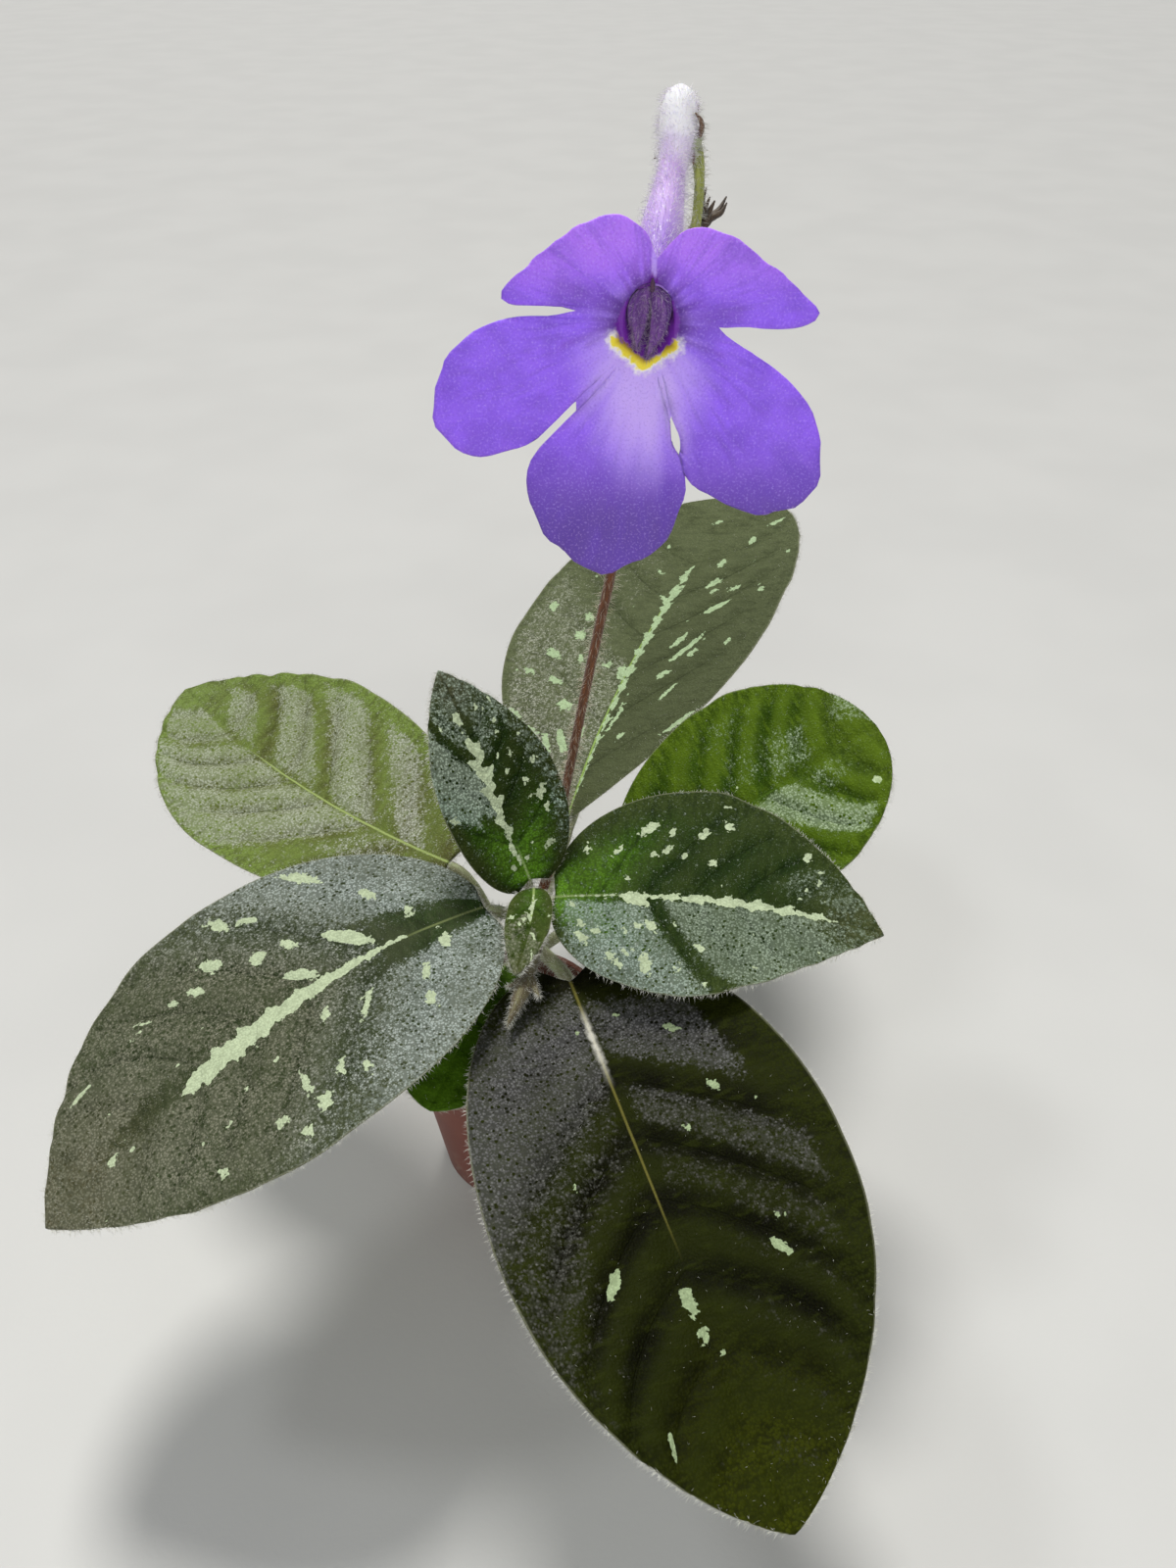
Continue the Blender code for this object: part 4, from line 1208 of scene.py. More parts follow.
class Leaf:
    """One leaf: its quilted blade, its stalk with the midrib under it, and its hairs."""

    SPACING = 0.78
    BLADE = 0.75
    TOP = 0.08
    STALK_SIDES = 14
    MIDRIB_END = 0.8
    MIDRIB_PLACES = (0.08, 0.2, 0.35, 0.5, 0.65, 0.8)
    MARGIN_HAIRS = 9.5
    FOOT_HAIRS = 2.5
    FACE_HAIRS = ((1.0, 0.04), (-1.0, 0.12))
    FIRST_SEED = 100
    SEED_STEP = 10

    def __init__(self, shape: LeafShape, pattern: LeafPattern, seed: int) -> None:
        """Set up the leaf.

        Args:
            shape: Its sizes.
            pattern: Its colours and marks.
            seed: Seed of its random draws.
        """
        self.shape = shape
        self.pattern = pattern
        self.form = LeafForm(shape)
        self.rng = np.random.default_rng(seed)
        self.seed = seed

    def silver(self, s: Array, q: Array) -> Array:
        """Give how much of the surface is silver at each place, the leaf's own silver marking and painted
        glare together.
        """
        ground = np.full(s.shape, self.pattern.ground)
        return np.clip(sum((patch.cover(s, q) for patch in self.pattern.patches), ground), -0.6, 1.3)

    def pale(self, s: Array, q: Array) -> Array:
        """Give the distance in millimetres to the nearest pale fleck, less than 0 inside it.

        Args:
            s: Places along the leaf.
            q: Places across it.

        Returns:
            The distances.
        """
        width = self.form.half_width(self.form.place_along(s, q), q)
        length = self.shape.length
        best = np.full(s.shape, FAR)
        scale = self.pattern.fleck_scale
        for fleck in self.pattern.flecks + self.specks():
            x = (q - fleck.q) * width
            y = (s - fleck.s) * length
            cosine = math.cos(math.radians(fleck.turn))
            sine = math.sin(math.radians(fleck.turn))
            long, wide = fleck.long * scale, fleck.wide * scale
            far = np.hypot((x * cosine + y * sine) / long, (y * cosine - x * sine) / wide)
            best = np.minimum(best, (far - 1.0) * wide)
        for streak in self.pattern.streaks:
            t = np.clip((s - streak.start) / (streak.end - streak.start), 0.0, 1.0)
            centre = streak.centre_start + (streak.centre_end - streak.centre_start) * t
            growth = t ** streak.swell * (1 - t ** 14)
            half = streak.half_start + (streak.half_end - streak.half_start) * growth
            side = np.where(q > centre, 1.0, 2.4)
            jag = np.sin(s * length / 1.15 + side) + 0.7 * np.sin(s * length / 0.62 + 2.0 * side)
            half = half * (1.0 + streak.teeth * jag)
            off = np.abs(q - centre) * width - half * width
            off = np.maximum(off, np.maximum(streak.start - s, s - streak.end) * length)
            best = np.minimum(best, off)
        return np.clip(best, -FAR, FAR)

    def specks(self) -> tuple[Fleck, ...]:
        """Draw the smallest flecks at random.

        Returns:
            The flecks.
        """
        made = []
        for _ in range(self.pattern.specks):
            s = float(self.rng.uniform(0.05, 0.8))
            q = float(self.rng.uniform(-0.92, 0.92))
            long, wide = float(self.rng.uniform(0.5, 1.1)), float(self.rng.uniform(0.4, 0.65))
            made.append(Fleck(s, q, long, wide, 40.0 if q < 0 else -40.0))
        return tuple(made)

    def blade(self) -> Piece:
        """Make the blade with its marks.

        Returns:
            The blade's piece.
        """
        shape = self.shape
        rows = int(shape.length / self.SPACING)
        columns = int((shape.left + shape.right) / self.SPACING) // 2 * 2 + 1
        even = np.linspace(0.0, 1.0, rows)
        s = self.form.START + (1.0 - self.form.START) * even * (0.5 + 0.5 * even)
        q = np.linspace(1.0, -1.0, columns)
        s, q = np.meshgrid(s, q, indexing="ij")
        maker = MeshMaker(("run", "across", "silver", "pale", "thick"))
        thick = 1.0 - 0.7 * soft_step(np.abs(q), 0.7, 1.0)
        maker.sheet(self.form.points(s, q, self.TOP), self.form.flat(s, q), run=s, across=q,
                    silver=self.silver(s, q), pale=self.pale(s, q), thick=thick)
        finishes = [self.pattern.skin.make(shape.name + "_upper"), UNDER.make(shape.name + "_lower")]
        piece = maker.done(shape.name + "_blade", finishes, (shape.name,),
                           closed=False)
        group = piece.vertex_groups.new(name="thick")
        weights = np.empty(len(piece.data.vertices))
        piece.data.attributes["thick"].data.foreach_get("value", weights)
        for level in range(3, 11):
            chosen = np.nonzero(np.round(weights * 10) == level)[0]
            group.add([int(index) for index in chosen], level / 10.0, "REPLACE")
        wall = piece.modifiers.new("thickness", "SOLIDIFY")
        wall.thickness = self.BLADE * MM
        wall.offset = 0.0
        wall.vertex_group = "thick"
        wall.material_offset = 1
        return piece

    def stalk_bar(self) -> Bar:
        """Work out the stalk, from the stem to the midrib's end under the blade.

        Returns:
            The bar.
        """
        form = self.form
        radius = self.shape.stalk_r * MM
        root, stem_r = Stem.point(self.shape.stem_height)
        start = Vector(form.at(form.centre, np.array(0.0)))
        along = Vector(form.at(form.along, np.array(0.0)))
        under = Vector(form.at(form.normal, np.array(0.0))) * -(radius - 0.3 * MM)
        out = Vector((start.x - root.x, start.y - root.y, 0.0)).normalized()
        foot = root + out * (stem_r - 0.4 * MM)
        span = (start - foot).length
        points = bezier(foot, foot + out * (0.35 * span), start + under - along * (0.35 * span),
                        start + under, 9)
        radii = [radius * (1.0 - 0.12 * step / 8) for step in range(9)]
        for t in self.MIDRIB_PLACES:
            thick = radius * 0.88 * (1.0 - t / (self.MIDRIB_END + 0.12)) + 0.25 * MM
            sink = thick / MM + 0.15 if t < self.MIDRIB_END else 0.2
            points.append(Vector(form.points(t, 0.0, -sink)))
            radii.append(thick)
        radii[-1] = 0.2 * MM
        return Bar(points, radii, 90, self.STALK_SIDES, ripple=0.03)

    def stalk(self, bar: Bar) -> Piece:
        """Make the stalk's piece from its bar.

        Args:
            bar: The stalk's bar.

        Returns:
            The stalk's piece.
        """
        maker = MeshMaker()
        maker.sheet(*bar.skin())
        green = StalkSkin(srgb(144, 156, 108), srgb(122, 122, 84), srgb(204, 206, 184), 0.5)
        return maker.done(self.shape.name + "_stalk", [green.make(self.shape.name + "_stalk_finish")])

    def hairs(self, bar: Bar) -> Piece:
        """Grow the hairs of the margin, both faces and the stalk.

        Args:
            bar: The stalk's bar.

        Returns:
            The coat's piece.
        """
        form = self.form
        shape = self.shape
        coat = HairCoat(self.seed + 1)
        rng = coat.rng
        edge_count = int(shape.length * self.MARGIN_HAIRS)
        s = rng.uniform(form.START, 0.99, edge_count)
        q = np.where(rng.uniform(size=edge_count) > 0.5, 1.0, -1.0)
        t = form.place_along(s, q)
        out = form.at(form.side, t) * q[:, None]
        coat.grow(form.points(s, q * 0.995), out, HairKind.MARGIN, pull=(0.0, 0.0, 0.15))
        foot_count = int((shape.left + shape.right) * self.FOOT_HAIRS)
        q = rng.uniform(-1.0, 1.0, foot_count)
        s = np.full(foot_count, form.START)
        coat.grow(form.points(s, q), -form.at(form.along, s), HairKind.MARGIN)
        for side, share in self.FACE_HAIRS:
            count = int(shape.length * (shape.left + shape.right) * share)
            s = rng.uniform(form.START, 0.97, count)
            q = rng.uniform(-0.98, 0.98, count)
            normal = form.at(form.normal, form.place_along(s, q)) * side
            coat.grow(form.points(s, q, self.TOP + side * 0.3), normal, HairKind.FACE, scale=0.8)
        roots, out = bar.spots(rng, int(200 + 14 * shape.length ** 0.5 * shape.stalk_r), 0.0, 0.72)
        coat.grow(roots, out, HairKind.STALK, scale=0.75)
        return coat.build(shape.name + "_hairs", SILVER_HAIR, shape.name + "_skin")

    def build(self) -> list[Piece]:
        """Make the leaf's pieces."""
        bar = self.stalk_bar()
        return [self.blade(), self.stalk(bar), self.hairs(bar)]


@dataclass
class Pot:
    """Round nursery pot with a rim band, and drain holes in its floor."""

    height: float = 54.0
    base_r: float = 21.0
    neck_r: float = 26.6
    rim_r: float = 28.5
    band: float = 9.0
    wall: float = 1.3
    floor: float = 1.6
    sides: int = 96
    drains: int = 5
    drain_r: float = 2.8
    drain_ring: float = 13.0
    peg: float = 10.0
    sharp: float = 38.0

    def profile(self) -> list[tuple[float, float]]:
        """Give the turned outline as radius and height, from the underside round to the inside.

        Returns:
            The outline in millimetres.
        """
        shoulder = self.height - self.band
        inner = self.base_r - self.wall
        outline = [(0.0, 0.9), (self.base_r - 4.2, 0.9), (self.base_r - 3.2, 0.0), (self.base_r - 1.0, 0.0),
                   (self.base_r - 0.25, 0.3), (self.base_r, 1.0)]
        for share in (0.15, 0.35, 0.55, 0.75, 0.9):
            outline.append((self.base_r + (self.neck_r - self.base_r) * share,
                            1.0 + (shoulder - 1.0) * share))
        outline += [(self.neck_r, shoulder), (self.neck_r + 0.75, shoulder + 0.1),
                    (self.neck_r + 0.95, shoulder + 0.5), (self.neck_r + 1.05, shoulder + 1.6),
                    (self.rim_r - 0.2, self.height - 1.8), (self.rim_r, self.height - 1.4),
                    (self.rim_r, self.height - 0.5), (self.rim_r - 0.2, self.height - 0.1),
                    (self.rim_r - 0.6, self.height), (self.rim_r - self.wall - 0.1, self.height),
                    (self.rim_r - self.wall - 0.4, self.height - 0.3),
                    (self.neck_r - self.wall + 0.9, shoulder + 0.8),
                    (self.neck_r - self.wall, shoulder - 0.8),
                    (inner + 0.3, self.floor + 1.0), (inner - 0.1, self.floor + 0.3),
                    (inner - 0.8, self.floor), (0.0, self.floor)]
        return outline

    def shell(self) -> bpy.types.Mesh:
        """Turn the outline round the pot's axis.

        Returns:
            The pot, not yet drilled.
        """
        bm = bmesh.new()
        verts = [bm.verts.new((radius * MM, 0.0, height * MM)) for radius, height in self.profile()]
        edges = [bm.edges.new(pair) for pair in zip(verts, verts[1:])]
        bmesh.ops.spin(bm, geom=verts + edges, cent=(0, 0, 0), axis=(0, 0, 1), angle=TURN,
                       steps=self.sides, use_merge=True)
        bmesh.ops.remove_doubles(bm, verts=bm.verts, dist=MERGE)
        bmesh.ops.recalc_face_normals(bm, faces=bm.faces)
        return settle("pot_shell", bm)

    def drill(self) -> Piece:
        """Make the tool that drills the drains, with a peg for each.

        Returns:
            The tool, which is in no scene.
        """
        bm = bmesh.new()
        reach, radius = self.drain_ring * MM, self.drain_r * MM
        for index in range(self.drains):
            angle = TURN * (index + 0.5) / self.drains
            peg = bmesh.ops.create_cone(bm, cap_ends=True, segments=28, radius1=radius, radius2=radius,
                                        depth=self.peg * MM)["verts"]
            bmesh.ops.translate(bm, verts=peg, vec=(reach * math.cos(angle), reach * math.sin(angle), 0.0))
        return bpy.data.objects.new("drill", settle("drill", bm))

    def build(self) -> list[Piece]:
        """Turn the pot, drill its drains and dress it.

        Returns:
            The pot.
        """
        finish = PotPlastic(srgb(116, 62, 50), srgb(140, 86, 70), srgb(150, 132, 116))
        pot = dress("pot_shell", self.shell(), [finish.make("pot_finish")], ("pot",))
        tool = self.drill()
        cut = pot.modifiers.new("drains", "BOOLEAN")
        cut.operation = "DIFFERENCE"
        cut.solver = "EXACT"
        cut.object = tool
        graph = bpy.context.evaluated_depsgraph_get()
        drilled = bpy.data.meshes.new_from_object(pot.evaluated_get(graph))
        pot.modifiers.clear()
        pot.data = drilled
        bpy.data.objects.remove(tool, do_unlink=True)
        pot.data.shade_smooth()
        pot.data.set_sharp_from_angle(angle=math.radians(self.sharp))
        return [pot]


@dataclass(frozen=True)
class Litter:
    """One kind of lump that lies on the soil: how many, how large, how flat and of what."""

    name: str
    count: int
    smallest: float
    largest: float
    shape: Triple
    mix: SoilMix


@dataclass
class Soil:
    """Plug of peaty soil, crumbly on top, with bark and grit on it."""

    PEAT = SoilMix(srgb(34, 26, 20), srgb(70, 54, 42), srgb(96, 74, 54))
    GRIT = SoilMix(srgb(196, 190, 176), srgb(226, 222, 212), srgb(150, 140, 124))
    BARK = SoilMix(srgb(58, 36, 24), srgb(98, 62, 40), srgb(120, 84, 56))
    LITTER = (Litter("soil_crumbs", 420, 0.35, 1.0, (1.0, 0.8, 0.7), PEAT),
              Litter("soil_grit", 60, 0.5, 1.1, (1.0, 0.9, 0.8), GRIT),
              Litter("soil_bark", 70, 0.9, 2.1, (1.0, 0.5, 0.25), BARK))

    top: float = 46.0
    low: float = 1.9
    crumb: float = 0.9
    rings: int = 56
    sides: int = 150
    inset: float = 2.6
    seed: int = 41

    def wall(self, height: float) -> float:
        """Give the plug's radius in millimetres at a height.

        Args:
            height: Height in millimetres.

        Returns:
            The radius.
        """
        pot = Pot()
        shoulder = pot.height - pot.band
        low_r = pot.base_r - pot.wall + 0.3
        share = (height - pot.floor - 1.0) / (shoulder - 0.8 - pot.floor - 1.0)
        return low_r + (pot.neck_r - pot.wall - low_r) * min(share, 1.0) - 0.5

    def bump(self, x: Array, y: Array) -> Array:
        """Give the height in millimetres of the soil's crumbs over its mean level.

        Args:
            x: Places to the right.
            y: Places to the back.

        Returns:
            The heights.
        """
        broad = np.sin(x / 2.1 + 1.3) * np.cos(y / 2.6)
        broad = 0.6 * broad + 0.5 * np.sin((x + y) / 3.4 + 0.7) * np.sin((x - 0.7 * y) / 2.9)
        fine = np.sin(x / 0.7 + 2.0 * np.sin(y / 0.9)) * np.sin(y / 0.62 + 1.7 * np.sin(x / 1.1))
        return self.crumb * (broad + 0.35 * fine)

    def plug(self, rng: np.random.Generator) -> Piece:
        """Make the plug.

        Args:
            rng: Source of random draws.

        Returns:
            The plug's piece.
        """
        angle = np.linspace(0.0, TURN, self.sides + 1)
        rim = self.wall(self.top - self.inset)
        rows = [(0.0, self.low), (0.6, self.low), (self.wall(self.low + 2.0) - 1.2, self.low),
                (self.wall(self.low + 2.0), self.low + 2.0), (self.wall(24.0), 24.0), (rim, self.top - 1.2)]
        rows += [(rim * (1.0 - ring / self.rings), self.top) for ring in range(1, self.rings)]
        rows.append((0.0, self.top))
        radius = np.array([row[0] for row in rows])[:, None]
        height = np.array([row[1] for row in rows])[:, None]
        x = radius * np.cos(angle)[None, :]
        y = radius * np.sin(angle)[None, :]
        on_top = (height >= self.top) * 1.0
        rough = rng.normal(0.0, 0.16, x.shape)
        rough[:, -1] = rough[:, 0]
        rough[-1, :] = 0.0
        z = height + on_top * (self.bump(x, y) + rough)
        maker = MeshMaker()
        maker.sheet(np.stack([x, y, z], axis=-1) * MM, np.stack([x, y], axis=-1))
        return maker.done("soil_plug", [self.PEAT.make("soil_finish")], ("soil",))

    def strew(self, litter: Litter, rng: np.random.Generator) -> Piece:
        """Strew one kind of lump over the plug.

        Args:
            litter: What to strew.
            rng: Source of random draws.

        Returns:
            The lumps' piece.
        """
        maker = MeshMaker()
        reach = self.wall(self.top - self.inset) - 2.2
        for _ in range(litter.count):
            size = float(rng.uniform(litter.smallest, litter.largest))
            far = reach * math.sqrt(float(rng.uniform(0.02, 1.0)))
            turn = float(rng.uniform(0.0, TURN))
            x, y = far * math.cos(turn), far * math.sin(turn)
            lump = bmesh.ops.create_icosphere(maker.bm, subdivisions=1, radius=size * MM)["verts"]
            for vert in lump:
                vert.co = vert.co * float(rng.uniform(0.75, 1.15))
            bmesh.ops.scale(maker.bm, verts=lump, vec=litter.shape)
            aim = Vector(rng.normal(0.0, 1.0, 3))
            spin = Vector((0.0, 0.0, 1.0)).rotation_difference(aim).to_matrix()
            bmesh.ops.rotate(maker.bm, verts=lump, cent=(0, 0, 0), matrix=spin)
            level = self.top + float(self.bump(x, y)) + 0.25 * size
            bmesh.ops.translate(maker.bm, verts=lump, vec=Vector((x, y, level)) * MM)
        return maker.done(litter.name, [litter.mix.make(litter.name + "_finish")])

    def build(self) -> list[Piece]:
        """Make the plug and what lies on it."""
        rng = np.random.default_rng(self.seed)
        return [self.plug(rng)] + [self.strew(litter, rng) for litter in self.LITTER]


class Stem:
    """Short stem with swollen nodes and the scars of old leaves."""

    FOOT = Vector((3.0, 1.0, 26.0))
    CROWN = Vector((8.0, 0.8, 100.5))
    FOOT_R = 4.4
    CROWN_R = 2.3
    NODES = (74.0, 80.0, 87.0, 95.0)
    SCARS = (54.0, 61.0, 67.0)
    FLOWERING = 96.5
    SEED = 52

    @classmethod
    def point(cls, height: float) -> tuple[Vector, float]:
        """Give the stem's centre and radius at a height.

        Args:
            height: Height in millimetres.

        Returns:
            Centre and radius in metres.
        """
        t = (height - cls.FOOT.z) / (cls.CROWN.z - cls.FOOT.z)
        lean = t * t
        centre = Vector((cls.FOOT.x + (cls.CROWN.x - cls.FOOT.x) * lean,
                         cls.FOOT.y + (cls.CROWN.y - cls.FOOT.y) * lean, height))
        return centre * MM, (cls.FOOT_R + (cls.CROWN_R - cls.FOOT_R) * t) * MM

    def build(self) -> list[Piece]:
        """Make the stem and its hairs.

        Returns:
            The pieces.
        """
        heights = np.linspace(self.FOOT.z, self.CROWN.z, 120)
        points = []
        radii = []
        for height in heights:
            centre, radius = self.point(float(height))
            swell = sum(0.35 * math.exp(-((height - node) / 1.8) ** 2) for node in self.NODES)
            scar = sum(0.3 * math.exp(-((height - place) / 0.7) ** 2) for place in self.SCARS)
            crown = 0.8 * max(0.0, (height - self.CROWN.z + 1.5) / 1.5)
            points.append(centre)
            radii.append(radius + (swell + scar - crown) * MM)
        bar = Bar(points, radii, 130, 32, ripple=0.02)
        maker = MeshMaker()
        maker.sheet(*bar.skin())
        skin = StalkSkin(srgb(88, 74, 46), srgb(66, 46, 32), srgb(150, 140, 116), 0.4)
        stem = maker.done("stem_body", [skin.make("stem_finish")], ("stem",))
        coat = HairCoat(self.SEED)
        roots, out = bar.spots(coat.rng, 900, 0.3, 1.0)
        coat.grow(roots, out, HairKind.STALK, scale=0.8)
        fur = HairSkin(srgb(205, 196, 180), srgb(150, 120, 104))
        return [stem, coat.build("stem_hairs", fur, "stem_skin")]


class Limb:
    """Shape of the flower: its tube, its five lobes and the throat."""

    THROAT = Vector((30.6, -47.0, 256.2)) * MM
    LEAN = 15.0
    SPUR_END = Vector((35.8, -14.2, 281.0)) * MM
    MOUTH_W = 3.7
    MOUTH_H = 5.2
    FUNNEL = 2.4
    REFLEX = (2.6, 0.4, 1.0, 0.4, 2.6)
    PROFILE = ((0.0, 0.0), (0.02, 1.6), (0.04, 2.1), (0.07, 2.5), (0.10, 2.65), (0.14, 2.5), (0.18, 2.25),
               (0.22, 2.0), (0.27, 1.88), (0.31, 1.95), (0.36, 2.2), (0.41, 2.5), (0.46, 2.75),
               (0.52, 2.95), (0.7, 3.25), (0.85, 3.45), (1.0, 3.7))
    LOBES = (
        ((83.9, 8.4), (95.8, 12.1), (112.5, 14.9), (135.4, 16.3), (153.5, 18.1), (166.0, 20.6),
         (172.0, 20.7), (171.5, 17.0), (169.5, 14.0), (171.0, 10.5)),
        ((171.0, 10.5), (177.0, 15.0), (178.0, 18.8), (181.9, 24.3), (188.7, 28.7), (197.0, 32.2),
         (206.6, 33.6), (213.0, 32.2), (217.0, 30.0), (221.0, 26.2), (223.2, 23.8), (223.8, 22.3),
         (223.4, 20.8), (222.9, 19.4), (222.7, 17.5), (223.3, 16.0), (225.2, 14.8)),
        ((225.2, 14.8), (230.4, 16.4), (229.6, 18.2), (228.4, 19.8), (227.9, 21.3), (227.6, 23.0),
         (227.8, 25.4), (232.1, 28.9), (240.0, 32.2), (249.0, 34.6), (257.4, 36.0), (266.0, 34.4),
         (275.5, 30.6), (282.2, 25.4), (284.0, 23.7), (284.5, 22.1), (284.4, 20.5), (282.4, 18.3),
         (281.0, 16.3), (281.6, 14.5), (285.1, 12.9)),
        ((285.1, 12.9), (288.0, 14.6), (288.6, 16.4), (287.2, 18.5), (285.0, 20.6), (285.3, 22.0),
         (287.4, 23.5), (290.4, 24.9), (299.0, 29.8), (310.0, 33.6), (318.0, 33.2),
         (327.0, 30.1), (336.0, 24.1), (343.0, 16.8), (349.5, 11.6), (356.8, 9.7)),
        ((356.8, 9.7), (357.8, 14.0), (358.5, 20.5), (361.5, 23.6), (366.0, 22.9), (372.0, 21.2),
         (380.0, 19.0), (391.4, 17.0), (404.2, 15.7), (418.1, 14.2), (430.0, 12.3), (443.9, 8.4)),
    )
    MARK = ((205.0, 5.6), (261.0, 5.8), (321.0, 4.9))
    HOLLOW = ((0.3, 5.9), (-3.4, 2.4), (-4.5, -0.2), (-4.8, -2.6), (-0.8, -5.5), (3.7, -3.4), (4.1, 0.2),
              (3.1, 2.6))

    @classmethod
    def axes(cls) -> tuple[Vector, Vector, Vector]:
        """Give the directions across, up and out of the flower's face."""
        lean = math.radians(cls.LEAN)
        return (Vector((1, 0, 0)), Vector((0, math.sin(lean), math.cos(lean))),
                Vector((0, -math.cos(lean), math.sin(lean))))

    @classmethod
    def line(cls, u: float) -> Vector:
        """Give a point on the tube's centre line, from the spur's end to the throat.

        Args:
            u: Place from 0 at the spur's end to 1 at the throat.

        Returns:
            The point in metres.
        """
        first = cls.SPUR_END + Vector((-1.0, -8.0, -13.5)) * MM
        second = cls.THROAT - Vector((0.0, -0.96, -0.22)) * (13.0 * MM)
        return cubic(cls.SPUR_END, first, second, cls.THROAT, u)

    @classmethod
    def section(cls, u: float) -> tuple[Vector, Vector, Vector, float]:
        """Give the tube's section at a place along it.

        Args:
            u: Place from 0 at the spur's end to 1 at the throat.

        Returns:
            Centre, side and up directions, and radius in metres.
        """
        tangent = (cls.line(min(u + 0.01, 1.0)) - cls.line(max(u - 0.01, 0.0))).normalized()
        side = Vector((1, 0, 0))
        side = (side - tangent * side.dot(tangent)).normalized()
        places = [knot[0] for knot in cls.PROFILE]
        sizes = [knot[1] for knot in cls.PROFILE]
        near = [max(u - 0.03, 0.0), u, min(u + 0.03, 1.0)] if u > 0.08 else [u]
        radius = sum(float(np.interp(place, places, sizes)) for place in near) / len(near)
        return cls.line(u), side, tangent.cross(side), radius * MM

    @classmethod
    def spot(cls, angle: float, reach: float) -> Array:
        """Give the flat place in millimetres of an angle and a distance from the throat."""
        return np.array([math.cos(math.radians(angle)), math.sin(math.radians(angle))]) * reach


